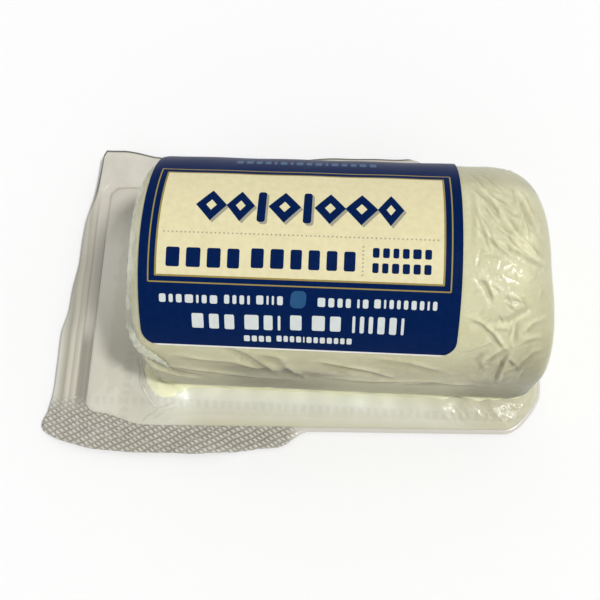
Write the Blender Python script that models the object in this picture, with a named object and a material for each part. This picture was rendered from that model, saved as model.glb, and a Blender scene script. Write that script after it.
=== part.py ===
"""A fresh goat cheese log, vacuum sealed in clear film, with a paper label round it.

The log lies along X on its flat backing. The formed film grips the log, tucks in under
it, runs out over a low shelf to the seal line, and ends in a flat seal flange. The
flange stands out on the left and along the left half of the front, and is folded under
the pack elsewhere on the front and round the right end. All sizes are in metres.
"""

import math

import bmesh
import bpy
from mathutils import Matrix, Vector

# The cheese log: a round bar whose ends are flat in the middle and rounded at the rim
LOG_RADIUS = 0.0215
LOG_AXIS_HEIGHT = 0.0214
LOG_AXIS_Y = -0.0019
LABEL_CENTRE_X = 0.0031
BARREL_LEFT = LABEL_CENTRE_X - 0.0265
BARREL_RIGHT = LABEL_CENTRE_X + 0.0320
LEFT_END_DEPTH = 0.0062
LEFT_END_POWER = 2.6
RIGHT_END_DEPTH = 0.0138
RIGHT_END_POWER = 3.2
RIGHT_END_FULLER = (0.0020, 2.4)

# The seal line: a rounded rectangle round the log, turned a little against it
SEAL_LEFT = LABEL_CENTRE_X - 0.0473
SEAL_RIGHT = LABEL_CENTRE_X + 0.0473
SEAL_FRONT = LOG_AXIS_Y - 0.0272
SEAL_BACK = LOG_AXIS_Y + 0.0296
SEAL_LEFT_RADIUS = 0.0028
SEAL_RIGHT_RADIUS = 0.0060
SEAL_TURN = math.radians(2.0)
SEAL_HEIGHT = 0.0020

# The flange outside the seal line
FLANGE_SIDE_WIDTH = 0.0056
FLANGE_BACK_WIDTH = 0.0076
FLANGE_LEFT_FRONT_WIDTH = 0.0088
FLANGE_LEFT_BACK_WIDTH = 0.0032
FLANGE_LEFT_SWELL = 0.0010
FLANGE_THICKNESS = 0.0007
FLANGE_CORNER_POWER = 8.0
FLANGE_LEFT_FRONT_POWER = 2.7
FOLD_RADIUS = 0.00055
FLANGE_SAG = math.radians(-5.0)
FLANGE_LIFT = math.radians(14.0)
FLANGE_WAVE = math.radians(3.5)

# The film between the log and the seal line
TUCK_HEIGHT = 0.0082
TUCK_WAVE = 0.0010
SHELF_HEIGHT = 0.0046
SHELF_SHARE = 0.72
FOOT_CENTRE = (LABEL_CENTRE_X - 0.0275, LOG_AXIS_Y - 0.0215)
FOOT_RADIUS = 0.0052
FOOT_HEIGHT = 0.0026

# The underside: raised along the seal line, flat where the log stands on it
RAISED_RIM = 0.0035
FLAT_FROM = 0.0100

# The label
LABEL_WIDTH = 0.0557
LABEL_FRONT_ANGLE = math.radians(63.6)
LABEL_BACK_ANGLE = math.radians(-100.0)
LABEL_CORNER_RADIUS = 0.0034
LABEL_THICKNESS = 0.00030
LABEL_GAP = 0.00035

# How finely the pack is divided
SIDE_STEP = 0.0029
CORNER_STEPS = 5
LOG_ROWS = 20
TENT_ROWS = 6
FLAT_ROWS = 3
CURL_ROWS = 4
RIM_ROWS = 4
LABEL_COLUMNS = 16
LABEL_ROWS = 30
PROFILE_SAMPLES = 90

# Folds that the film presses into the soft cheese: (x from the label's centre, degrees
# from the top towards the front) at each end, half width, depth
FOLDS = [
    ((0.0294, -28), (0.0345, -4), 0.0012, 0.00045),
    ((0.0341, -18), (0.0396, 9), 0.0013, 0.00060),
    ((0.0366, -30), (0.0385, -8), 0.0011, 0.00040),
    ((0.0334, 2), (0.0395, 12), 0.0012, 0.00050),
    ((0.0301, 44), (0.0362, 60), 0.0013, 0.00070),
    ((0.0364, 60), (0.0328, 74), 0.0012, 0.00050),
    ((0.0369, 62), (0.0358, 84), 0.0013, 0.00060),
    ((0.0378, 42), (0.0372, 58), 0.0011, 0.00045),
    ((0.0374, 79), (0.0427, 56), 0.0013, 0.00055),
    ((0.0333, 47), (0.0398, 36), 0.0012, 0.00045),
    ((0.0035, 73), (0.0160, 84), 0.0014, 0.00060),
    ((-0.0177, 68), (0.0003, 84), 0.0015, 0.00060),
]


def smooth_step(low, high, value):
    """0 below low, 1 above high, and a smooth rise between."""
    share = min(1.0, max(0.0, (value - low) / (high - low)))
    return share * share * (3.0 - 2.0 * share)


def distance_to_segment(point, start, end):
    """Distance in a plane from a point to a straight piece between two points."""
    along = (end[0] - start[0], end[1] - start[1])
    reach = (point[0] - start[0], point[1] - start[1])
    share = (reach[0] * along[0] + reach[1] * along[1]) / (along[0] ** 2 + along[1] ** 2)
    share = min(1.0, max(0.0, share))
    return math.hypot(reach[0] - share * along[0], reach[1] - share * along[1])


def fold_depth(x, angle):
    """How deep the film's folds are pressed in at a place on the log."""
    place = (x - LABEL_CENTRE_X, angle * LOG_RADIUS)
    depth = 0.0
    for start, end, half_width, most in FOLDS:
        from_point = (start[0], math.radians(start[1]) * LOG_RADIUS)
        to_point = (end[0], math.radians(end[1]) * LOG_RADIUS)
        off = distance_to_segment(place, from_point, to_point) / half_width
        depth = max(depth, most * math.exp(-off * off))
    return depth


def end_shape(x):
    """The ridge's point nearest to x, with the depth and power of the end beyond it."""
    if x < BARREL_LEFT:
        return BARREL_LEFT, LEFT_END_DEPTH, LEFT_END_POWER
    if x > BARREL_RIGHT:
        return BARREL_RIGHT, RIGHT_END_DEPTH, RIGHT_END_POWER
    return x, 1.0, 2.0


def log_point(ridge_x, direction, angle):
    """A point on the log. direction is level, away from the ridge; angle is from the top."""
    along = math.sin(angle) * direction[0]
    side_y = math.sin(angle) * direction[1]
    side_z = math.cos(angle)
    across = math.hypot(side_y, side_z)
    depth, power = LEFT_END_DEPTH, LEFT_END_POWER
    if along > 0.0:
        fuller = smooth_step(0.0, 0.9, (-0.8 * side_y - 0.6 * side_z) / max(across, 1e-6))
        depth = RIGHT_END_DEPTH + RIGHT_END_FULLER[0] * fuller
        power = RIGHT_END_POWER + RIGHT_END_FULLER[1] * fuller
    reach = ((abs(along) / depth) ** power + (across / LOG_RADIUS) ** power) ** (-1.0 / power)
    x = ridge_x + along * reach
    turn = math.atan2(-side_y, side_z)
    reach -= fold_depth(x, turn)
    return Vector((ridge_x + along * reach, LOG_AXIS_Y + side_y * reach, LOG_AXIS_HEIGHT + side_z * reach))


def tuck_angle(ridge_x, direction, height):
    """The angle from the top at which the log's lower side comes down to a height."""
    low, high = math.pi / 2.0, math.pi
    for _ in range(40):
        middle = (low + high) / 2.0
        if log_point(ridge_x, direction, middle).z > height:
            low = middle
        else:
            high = middle
    return low


def flange_width(outward, radius, end_width, side_width, power):
    """The flange's width at a corner of the seal line. The power squares its outer edge."""
    across = (abs(outward.x) / (radius + end_width)) ** power
    along = (abs(outward.y) / (radius + side_width)) ** power
    return (across + along) ** (-1.0 / power) - radius


def seal_loop():
    """The seal line's points, each with the level direction and the width of its flange,
    and with the place on the log's top line that the film comes down from."""
    right, left = (SEAL_RIGHT, SEAL_RIGHT_RADIUS), (SEAL_LEFT, SEAL_LEFT_RADIUS)
    corners = [
        (*right, SEAL_FRONT, -90.0, FLANGE_SIDE_WIDTH, FLANGE_SIDE_WIDTH, FLANGE_CORNER_POWER),
        (*right, SEAL_BACK, 0.0, FLANGE_SIDE_WIDTH, FLANGE_BACK_WIDTH, FLANGE_CORNER_POWER),
        (*left, SEAL_BACK, 90.0, FLANGE_LEFT_BACK_WIDTH, FLANGE_BACK_WIDTH, FLANGE_CORNER_POWER),
        (*left, SEAL_FRONT, 180.0, FLANGE_LEFT_FRONT_WIDTH, FLANGE_SIDE_WIDTH, FLANGE_LEFT_FRONT_POWER),
    ]
    centre = Vector(((SEAL_LEFT + SEAL_RIGHT) / 2.0, (SEAL_FRONT + SEAL_BACK) / 2.0))
    arcs = []
    for x, radius, y, start, end_width, side_width, power in corners:
        middle = Vector((x - math.copysign(radius, x - centre.x), y - math.copysign(radius, y - centre.y)))
        arc = []
        for step in range(CORNER_STEPS + 1):
            turn = math.radians(start + 90.0 * step / CORNER_STEPS)
            outward = Vector((math.cos(turn), math.sin(turn)))
            width = flange_width(outward, radius, end_width, side_width, power)
            arc.append((middle + outward * radius, outward, width))
        arcs.append(arc)
    loop = []
    for arc, following in zip(arcs, arcs[1:] + arcs[:1]):
        loop += arc
        (last, outward, width), (first, _, next_width) = arc[-1], following[0]
        steps = round((first - last).length / SIDE_STEP)
        swell = FLANGE_LEFT_SWELL * max(0.0, -outward.x)
        for step in range(1, steps):
            share = step / steps
            broad = width + (next_width - width) * share + swell * math.sin(math.pi * share)
            loop.append((last.lerp(first, share), outward, broad))
    spin = Matrix.Rotation(SEAL_TURN, 2)
    turned = []
    for point, outward, width in loop:
        ridge_x = min(BARREL_RIGHT, max(BARREL_LEFT, point.x))
        turned.append((centre + spin @ (point - centre), spin @ outward, width, ridge_x))
    return turned


def fold_share(x, y):
    """How far the flange is folded under at a place on the seal line, from 0 to 1."""
    from_label = x - LABEL_CENTRE_X
    narrowing = min(1.0, max(0.0, (from_label + 0.027) / 0.023))
    front = 0.4 * narrowing + 0.6 * smooth_step(-0.0055, 0.0020, from_label)
    back = smooth_step(0.020, 0.036, from_label)
    return front + (back - front) * smooth_step(-0.010, 0.010, y - LOG_AXIS_Y)


def flange_slope(x, y):
    """How steeply the flange rises away from the seal line. It lifts at the back left."""
    left = 1.0 - smooth_step(-0.0462, -0.0380, x - LABEL_CENTRE_X)
    lift = left * smooth_step(0.0080, 0.0280, y - LOG_AXIS_Y)
    wave = FLANGE_WAVE * math.sin(x * 260.0 + y * 420.0)
    return FLANGE_SAG + (FLANGE_LIFT - FLANGE_SAG) * lift + wave


def flange_path(point, width):
    """The middle of the flange's sheet: places outward and up from the seal line, with the
    direction at each. It runs out flat and turns under where it is folded."""
    folded = fold_share(point.x, point.y)
    flat = width * (1.0 - folded)
    turn = min((width - flat) / FOLD_RADIUS, math.pi)
    flap = width - flat - turn * FOLD_RADIUS
    path = [(flat * step / FLAT_ROWS, 0.0, 0.0) for step in range(FLAT_ROWS + 1)]
    for step in range(1, CURL_ROWS + 1):
        part = turn * step / CURL_ROWS
        out = flat + FOLD_RADIUS * math.sin(part)
        path.append((out, FOLD_RADIUS * (math.cos(part) - 1.0), -part))
    out, up, heading = path[-1]
    path.append((out + flap * math.cos(heading), up + flap * math.sin(heading), heading))
    slope = flange_slope(point.x, point.y) * (1.0 - folded)
    cosine, sine = math.cos(slope), math.sin(slope)
    return [(out * cosine - up * sine, out * sine + up * cosine, heading + slope)
            for out, up, heading in path]


def bezier(points, share):
    """A point on a cubic curve with four control points."""
    left = 1.0 - share
    weights = (left ** 3, 3.0 * left ** 2 * share, 3.0 * left * share ** 2, share ** 3)
    total = Vector((0.0, 0.0, 0.0))
    for weight, point in zip(weights, points):
        total += weight * point
    return total


def spread_evenly(points, count):
    """Count + 1 points at even distances along a line of points."""
    lengths = [0.0]
    for before, after in zip(points, points[1:]):
        lengths.append(lengths[-1] + (after - before).length)
    spread = []
    place = 0
    for step in range(count + 1):
        wanted = lengths[-1] * step / count
        while place < len(points) - 2 and lengths[place + 1] < wanted:
            place += 1
        piece = max(lengths[place + 1] - lengths[place], 1e-9)
        spread.append(points[place].lerp(points[place + 1], min(1.0, (wanted - lengths[place]) / piece)))
    return spread


def foot_rise(x, y):
    """How much cheese pressed out at the log's front left foot lifts the film."""
    off = math.hypot(x - FOOT_CENTRE[0], y - FOOT_CENTRE[1]) / FOOT_RADIUS
    return FOOT_HEIGHT * math.exp(-off * off)


def film_profile(point, ridge_x):
    """Points of the film from the log's top line down to the seal line, at one place on it."""
    level = point - Vector((ridge_x, LOG_AXIS_Y))
    if BARREL_LEFT < ridge_x < BARREL_RIGHT:
        level.x = 0.0
    direction = level.normalized()
    tuck = TUCK_HEIGHT + TUCK_WAVE * math.sin(point.x * 330.0 + 1.0)
    last_angle = tuck_angle(ridge_x, direction, tuck)
    on_log = []
    for step in range(PROFILE_SAMPLES + 1):
        on_log.append(log_point(ridge_x, direction, last_angle * step / PROFILE_SAMPLES))
    top = SEAL_HEIGHT + FLANGE_THICKNESS / 2.0
    start = on_log[-1]
    end = Vector((point.x, point.y, top))
    across = end - start
    shelf = start + across * SHELF_SHARE
    shelf.z = SHELF_HEIGHT
    under = start + across * 0.06
    under.z = SHELF_HEIGHT * 0.8
    tent = []
    for step in range(PROFILE_SAMPLES + 1):
        place = bezier((start, under, shelf, end), step / PROFILE_SAMPLES)
        place.z += foot_rise(place.x, place.y) * math.sin(math.pi * step / PROFILE_SAMPLES)
        tent.append(place)
    return spread_evenly(on_log, LOG_ROWS), spread_evenly(tent, TENT_ROWS)


def pack_rings():
    """Rings of points round the pack: over the film, round the flange, and in underneath."""
    rings = []
    for point, outward, width, ridge_x in seal_loop():
        on_log, tent = film_profile(point, ridge_x)
        column = on_log + tent[1:]
        half = FLANGE_THICKNESS / 2.0
        path = flange_path(point, width)
        base = Vector((point.x, point.y, SEAL_HEIGHT))
        level = Vector((outward.x, outward.y, 0.0))
        upward = Vector((0.0, 0.0, 1.0))
        for side in (1.0, -1.0):
            places = path[1:] if side > 0.0 else path[::-1]
            for out, up, heading in places:
                normal = upward * math.cos(heading) - level * math.sin(heading)
                column.append(base + level * out + upward * up + normal * half * side)
        inward = Vector((ridge_x, LOG_AXIS_Y, 0.0)) - Vector((point.x, point.y, 0.0))
        inward.normalize()
        for step in range(1, RIM_ROWS + 1):
            run = RAISED_RIM + (FLAT_FROM - RAISED_RIM) * (step - 1) / (RIM_ROWS - 1)
            rim_height = SEAL_HEIGHT - half
            drop = rim_height * (1.0 - smooth_step(RAISED_RIM, FLAT_FROM, run))
            place = Vector((point.x, point.y, 0.0)) + inward * run
            place.z = drop
            column.append(place)
        rings.append(column)
    return rings


def new_object(name, mesh_data, colour, roughness):
    """Links a finished mesh as one object with a plain material, shaded smooth."""
    mesh = bpy.data.meshes.new(name)
    mesh_data.to_mesh(mesh)
    mesh_data.free()
    mesh.shade_smooth()
    mesh.set_sharp_from_angle(angle=math.radians(40.0))
    material = bpy.data.materials.new(name)
    material.use_nodes = True
    surface = material.node_tree.nodes["Principled BSDF"]
    surface.inputs["Base Color"].default_value = (*colour, 1.0)
    surface.inputs["Roughness"].default_value = roughness
    surface.inputs["Metallic"].default_value = 0.0
    mesh.materials.append(material)
    made = bpy.data.objects.new(name, mesh)
    bpy.context.scene.collection.objects.link(made)
    return made


def sealed_pack():
    """The filled pack as one closed solid: film over the log, flange and flat backing."""
    shape = bmesh.new()
    columns = [[shape.verts.new(place) for place in column] for column in pack_rings()]
    count = len(columns)
    for number in range(count):
        here, beyond = columns[number], columns[(number + 1) % count]
        for row in range(len(here) - 1):
            shape.faces.new((here[row], here[row + 1], beyond[row + 1], beyond[row]))
    shape.faces.new([column[-1] for column in reversed(columns)])
    bmesh.ops.remove_doubles(shape, verts=shape.verts, dist=0.00002)
    bmesh.ops.dissolve_degenerate(shape, edges=shape.edges, dist=0.00001)
    bmesh.ops.recalc_face_normals(shape, faces=shape.faces)
    return new_object("sealed_pack", shape, (0.80, 0.78, 0.62), 0.25)


def label_half_width(run):
    """Half the label's width at a distance along it from its nearer cut edge."""
    half = LABEL_WIDTH / 2.0
    if run >= LABEL_CORNER_RADIUS:
        return half
    off = LABEL_CORNER_RADIUS - run
    return half - LABEL_CORNER_RADIUS + math.sqrt(LABEL_CORNER_RADIUS ** 2 - off ** 2)


def label_rows():
    """Angles of the label's rows, closer together at its rounded corners."""
    corner = LABEL_CORNER_RADIUS / LOG_RADIUS
    angles = [LABEL_BACK_ANGLE + corner * share for share in (0.0, 0.12, 0.36, 0.66)]
    span = LABEL_FRONT_ANGLE - LABEL_BACK_ANGLE - 2.0 * corner
    steps = LABEL_ROWS - 6
    for step in range(steps + 1):
        angles.append(LABEL_BACK_ANGLE + corner + span * step / steps)
    angles += [LABEL_FRONT_ANGLE - corner * share for share in (0.66, 0.36, 0.12, 0.0)]
    return angles


def barrel_radius(x):
    """The log's radius at a place along it."""
    ridge_x, depth, power = end_shape(x)
    share = abs(x - ridge_x) / depth
    return LOG_RADIUS * (1.0 - share ** power) ** (1.0 / power)


def front_label():
    """The paper label, bent round the log a hair's breadth off the film."""
    shape = bmesh.new()
    sheets = []
    for lift in (LABEL_GAP, LABEL_GAP + LABEL_THICKNESS):
        sheet = []
        for angle in label_rows():
            edge = min(angle - LABEL_BACK_ANGLE, LABEL_FRONT_ANGLE - angle) * LOG_RADIUS
            half = label_half_width(edge)
            row = []
            for column in range(LABEL_COLUMNS + 1):
                x = LABEL_CENTRE_X + half * (2.0 * column / LABEL_COLUMNS - 1.0)
                radius = barrel_radius(x) + lift
                y = LOG_AXIS_Y - radius * math.sin(angle)
                z = LOG_AXIS_HEIGHT + radius * math.cos(angle)
                row.append(shape.verts.new((x, y, z)))
            sheet.append(row)
        sheets.append(sheet)
    inner, outer = sheets
    rows, columns = len(inner), LABEL_COLUMNS + 1
    for sheet in sheets:
        for row in range(rows - 1):
            for column in range(columns - 1):
                shape.faces.new((
                    sheet[row][column], sheet[row][column + 1],
                    sheet[row + 1][column + 1], sheet[row + 1][column],
                ))
    border = [(0, column) for column in range(columns)]
    border += [(row, columns - 1) for row in range(1, rows)]
    border += [(rows - 1, column) for column in range(columns - 2, -1, -1)]
    border += [(row, 0) for row in range(rows - 2, 0, -1)]
    for (row, column), (next_row, next_column) in zip(border, border[1:] + border[:1]):
        shape.faces.new((
            inner[row][column], inner[next_row][next_column],
            outer[next_row][next_column], outer[row][column],
        ))
    bmesh.ops.recalc_face_normals(shape, faces=shape.faces)
    return new_object("front_label", shape, (0.010, 0.035, 0.130), 0.35)


def main():
    for old in list(bpy.data.objects):
        bpy.data.objects.remove(old)
    sealed_pack()
    front_label()


main()
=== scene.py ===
import math
import random

import bmesh
import bpy
import numpy as np
from mathutils import Matrix, Vector


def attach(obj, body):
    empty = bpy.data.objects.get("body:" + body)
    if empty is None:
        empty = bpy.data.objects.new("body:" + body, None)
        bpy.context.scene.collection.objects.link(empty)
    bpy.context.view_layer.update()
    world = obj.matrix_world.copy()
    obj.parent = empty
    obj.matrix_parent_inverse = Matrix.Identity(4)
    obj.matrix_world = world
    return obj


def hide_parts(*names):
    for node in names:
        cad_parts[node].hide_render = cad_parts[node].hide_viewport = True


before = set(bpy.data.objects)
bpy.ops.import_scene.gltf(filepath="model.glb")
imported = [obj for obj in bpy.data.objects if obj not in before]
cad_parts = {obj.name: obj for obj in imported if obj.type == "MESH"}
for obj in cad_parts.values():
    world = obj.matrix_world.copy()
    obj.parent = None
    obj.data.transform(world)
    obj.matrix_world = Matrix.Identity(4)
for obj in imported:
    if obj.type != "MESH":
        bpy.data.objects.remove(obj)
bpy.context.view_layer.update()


# The cheese log
# A bar of fresh goat cheese, cream white and soft, 43 mm thick and 77 mm long. The
# vacuum presses the film's folds into its ends and its underside, and squeezes a
# little of it out along its foot, most of all at the front left.

MM = 0.001
LABEL_X, AXIS_Y, AXIS_Z = 0.0031, -0.0019, 0.0214
LOG_RADIUS = 0.0215
BARREL_LEFT, BARREL_RIGHT = LABEL_X - 0.0265, LABEL_X + 0.0320
LEFT_END_DEPTH, LEFT_END_POWER = 0.0062, 2.6
RIGHT_END_DEPTH, RIGHT_END_POWER = 0.0138, 3.2
RIGHT_END_FULLER = (0.0008, 5.0)

SEAL_LEFT, SEAL_RIGHT = LABEL_X - 0.0473, LABEL_X + 0.0473
SEAL_FRONT, SEAL_BACK = AXIS_Y - 0.0272, AXIS_Y + 0.0296
SEAL_LEFT_CORNER, SEAL_RIGHT_CORNER = 0.0028, 0.0056
CORNER_PULL, CORNER_FLARE, CORNER_LIFT = 0.0016, 0.0012, 0.0023
SEAL_TURN, SEAL_HEIGHT = math.radians(2.0), 0.0020
# From here to the right the columns of points stand closer, for the bare end's fine folds
FINE_FROM = LABEL_X + 0.0270
FLANGE_SIDE, FLANGE_BACK, FLANGE_SQUARENESS = 0.0056, 0.0080, 8.0
FLANGE_BACK_LEFT, FLANGE_BACK_TAPER, FLANGE_LEAN = 0.0090, 0.016, 0.118
FLANGE_FRONT_START, FLANGE_FRONT_SPREAD = 0.0050, 0.08
# The flange's width down the left side, in shares of the way from back to front, and round
# the front left corner, by the turn from the left side
FLANGE_LEFT = ((0.0, 0.0034), (0.12, 0.0046), (0.28, 0.0053), (0.42, 0.0058), (0.54, 0.0064),
               (0.64, 0.0072), (0.88, 0.0072), (1.0, 0.0077))
FLANGE_TIP = ((0, 0.0077), (6, 0.0079), (12, 0.0083), (18, 0.0094), (24, 0.0101), (30, 0.0100),
              (42, 0.0089), (54, 0.0078), (66, 0.0072), (78, 0.0071), (90, 0.0073))

# The log sags on its foot, where the film leaves it and runs over a shelf to the seal line.
# At the front left the squeezed-out cheese raises the shelf.
SQUARE_FOOT = 2.1
TUCK_HEIGHT, TUCK_WAVE = 0.0060, 0.0005
SHELF_HEIGHT, SHELF_SHARE, FILM_OVER_SEAL = 0.0046, 0.72, 0.00024
FOOT_CENTRE = (LABEL_X - 0.0297, AXIS_Y - 0.0213)
FOOT_RADIUS, FOOT_HEIGHT = 0.0052, 0.0022
FOLD_SAMPLES = 160

# Folds of the film: a line of places (mm along from the label's middle, degrees from the
# top towards the front), half width, depth and the lip beside it (+ on its left), in mm
FOLDS = [
    ([(29.9, -26), (32.0, -17), (33.6, -9), (34.7, -4)], 0.55, 0.22, 0.12),
    ([(34.8, -9), (36.3, -4), (37.7, 2), (39.3, 6), (41.0, 9), (42.8, 13)], 0.45, 0.32, -0.26),
    ([(34.6, 8), (36.9, 11), (39.3, 14), (41.0, 15), (42.6, 17)], 0.42, 0.30, 0.24),
    ([(37.9, -21), (38.6, -12), (39.6, -7), (40.3, -4)], 0.55, 0.34, 0.24),
    ([(34.9, -13), (36.4, -9), (37.6, -8)], 0.45, 0.22, 0.12),
    ([(32.1, 3), (33.1, 7), (33.4, 8)], 0.45, 0.18, 0.10),
    ([(29.6, -24), (29.6, -8), (29.4, 8)], 0.55, 0.14, 0.10),
    ([(36.9, -27), (37.2, -15)], 0.50, 0.20, 0.12),
    ([(31.0, 24), (32.2, 29), (32.7, 33)], 0.50, 0.24, 0.20),
    ([(29.6, 43), (31.7, 46), (33.8, 51), (36.0, 59)], 0.45, 0.40, 0.22),
    ([(37.1, 58), (35.0, 63), (33.4, 68)], 0.55, 0.34, -0.20),
    ([(36.9, 61), (36.3, 68), (36.1, 77), (36.2, 85)], 0.42, 0.38, 0.22),
    ([(37.1, 77), (39.0, 72), (40.2, 66), (41.5, 61), (43.2, 60)], 0.48, 0.40, 0.26),
    ([(37.2, 65), (38.6, 70)], 0.45, 0.30, 0.22),
    ([(33.7, 48), (36.6, 48)], 0.45, 0.20, 0.12),
    ([(37.7, 54), (37.6, 48), (37.6, 43)], 0.40, 0.24, 0.16),
    ([(38.9, 54), (41.1, 53), (42.9, 53)], 0.50, 0.28, 0.20),
    ([(39.2, 49), (40.7, 45), (42.8, 43)], 0.50, 0.34, 0.26),
    ([(33.5, 43), (35.9, 42), (38.0, 38), (39.6, 36)], 0.50, 0.32, -0.20),
    ([(30.3, 24), (31.7, 26), (32.7, 31), (33.2, 34)], 0.50, 0.26, -0.16),
    ([(34.6, 32), (37.0, 33), (38.6, 34)], 0.50, 0.24, 0.16),
    ([(41.7, 34), (41.9, 27)], 0.50, 0.22, 0.16),
    ([(32.7, 60), (31.8, 66), (33.1, 74)], 0.60, 0.24, 0.14),
    ([(-13.6, 65), (-9.9, 70), (-6.3, 81), (-5.2, 93)], 0.90, 0.50, 0.30),
    ([(-8.1, 71), (-4.0, 73), (-0.1, 95)], 0.90, 0.44, 0.26),
    ([(3.7, 75), (8.2, 78), (13.5, 82), (17.9, 90)], 0.75, 0.62, 0.32),
    ([(-2.1, 83), (0.5, 96)], 0.80, 0.40, 0.26),
    ([(-22.4, 75), (-18.4, 78), (-12.1, 79), (-6.0, 88)], 0.90, 0.44, 0.26),
    ([(-19.0, 83), (-10.0, 86), (-1.0, 88), (8.0, 91)], 1.50, 0.42, 0.10),
    ([(-24.0, 88), (-16.0, 93), (-9.0, 99), (-2.0, 101)], 0.90, 0.50, 0.34),
    ([(6.0, 96), (14.0, 98), (22.0, 94), (28.0, 92)], 0.90, 0.48, 0.30),
    ([(14.0, 70), (20.0, 73), (27.0, 80)], 0.80, 0.34, 0.22),
    ([(20.0, 101), (26.0, 96), (33.0, 96)], 0.80, 0.44, 0.30),
    ([(-27.4, 74), (-26.0, 84), (-23.0, 96), (-18.0, 103)], 0.85, 0.60, -0.34),
    ([(-30.5, 60), (-30.0, 80), (-27.0, 96)], 0.80, 0.40, 0.10),
    ([(-30.0, 20), (-30.4, 45), (-29.4, 62)], 0.70, 0.22, 0.16),
    ([(-29.5, -40), (-30.2, -10), (-29.4, 12)], 0.70, 0.20, 0.14),
]
# Round blisters: the place, as above, the radius and the height in mm
BLISTERS = [((38.3, 6.0), 3.0, 0.40), ((38.1, 21.0), 1.5, 0.16), ((33.0, 80.0), 2.2, 0.20)]
# Families of short folds: how many, where they start along (mm) and round (degrees), the
# way they run from the log's axis towards the front (degrees) and its spread, and length
FOLD_FAMILIES = [
    (20, (29.4, 36.5), (-40, 0), 56, 12, (3.5, 8.5)),
    (16, (37.0, 41.8), (-36, 6), 64, 16, (3.0, 6.5)),
    (16, (29.4, 38.0), (6, 42), 100, 60, (1.2, 3.4)),
    (18, (38.0, 43.6), (16, 84), -38, 20, (2.5, 6.0)),
    (14, (29.0, 40.0), (64, 100), 118, 40, (1.8, 4.5)),
    (40, (29.4, 43.0), (-125, -42), -62, 28, (3.0, 8.0)),
    (26, (-32.3, -28.2), (-95, 70), 90, 22, (2.5, 7.0)),
    (30, (-26.0, 28.0), (66, 100), 72, 24, (1.8, 5.0)),
    (26, (-26.0, 28.0), (-118, -104), 86, 24, (1.5, 3.5)),
    (34, (-26.0, 34.0), (112, 138), 84, 24, (2.0, 5.0)),
]
# Where the film gathers on the right end, and how many folds run to it; and the pleats low on
# each end, which start at one height under the axis and span a width, in mm
GATHER, GATHER_FOLDS = (36.8, 60.0), 8
END_PLEATS, PLEAT_START, PLEAT_SPAN = 15, -14.6, 34.0


def fine_folds():
    """Short folds of every family, and those that run to the place where the film gathers."""
    draw = random.Random(8)
    arc = math.degrees(1.0 / (LOG_RADIUS * 1000.0))
    folds = []

    def run(along, turn, heading, length):
        line = [(along, turn)]
        for _ in range(3):
            along = min(44.2, max(-32.6, along + length / 3.0 * math.cos(math.radians(heading))))
            turn += length / 3.0 * math.sin(math.radians(heading)) * arc
            heading += draw.gauss(0.0, 9.0)
            line.append((along, turn))
        depth = draw.uniform(0.08, 0.19)
        lip = draw.choice((-1.0, 1.0)) * depth * draw.uniform(0.3, 0.7)
        folds.append((line, draw.uniform(0.18, 0.32), depth, lip))

    for count, alongs, turns, way, spread, lengths in FOLD_FAMILIES:
        for _ in range(count):
            run(draw.uniform(*alongs), draw.uniform(*turns), draw.gauss(way, spread), draw.uniform(*lengths))
    for number in range(GATHER_FOLDS):
        way = 360.0 * number / GATHER_FOLDS + draw.gauss(0.0, 8.0)
        far = draw.uniform(5.0, 8.5)
        along = GATHER[0] - far * math.cos(math.radians(way))
        turn = GATHER[1] - far * math.sin(math.radians(way)) * arc
        if along < 44.0:
            run(along, turn, way + draw.gauss(0.0, 10.0), far * draw.uniform(0.5, 0.85))
    for way in (1.0, -1.0):
        for number in range(END_PLEATS):
            over = PLEAT_SPAN * number / (END_PLEATS - 1) - PLEAT_SPAN / 2.0 + draw.gauss(0.0, 0.7)
            top = draw.uniform(-9.0, 1.0)
            line = [
                (way, over, PLEAT_START),
                (way, over * 0.97 + draw.gauss(0.0, 0.4), (top + PLEAT_START) / 2.0),
                (way, over * 0.88 + draw.gauss(0.0, 0.9), top),
            ]
            depth = draw.uniform(0.16, 0.36)
            folds.append((line, draw.uniform(0.35, 0.60), depth, depth * draw.uniform(0.3, 0.7)))
    return folds


def smooth(low, high, value):
    """0 below low, 1 above high, and a smooth rise between."""
    share = np.clip((value - low) / (high - low), 0.0, 1.0)
    return share * share * (3.0 - 2.0 * share)


def run_between(low, high, step):
    """Even places from low to high, without the last."""
    count = max(1, round((high - low) / step))
    return [low + (high - low) * number / count for number in range(count)]


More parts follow.
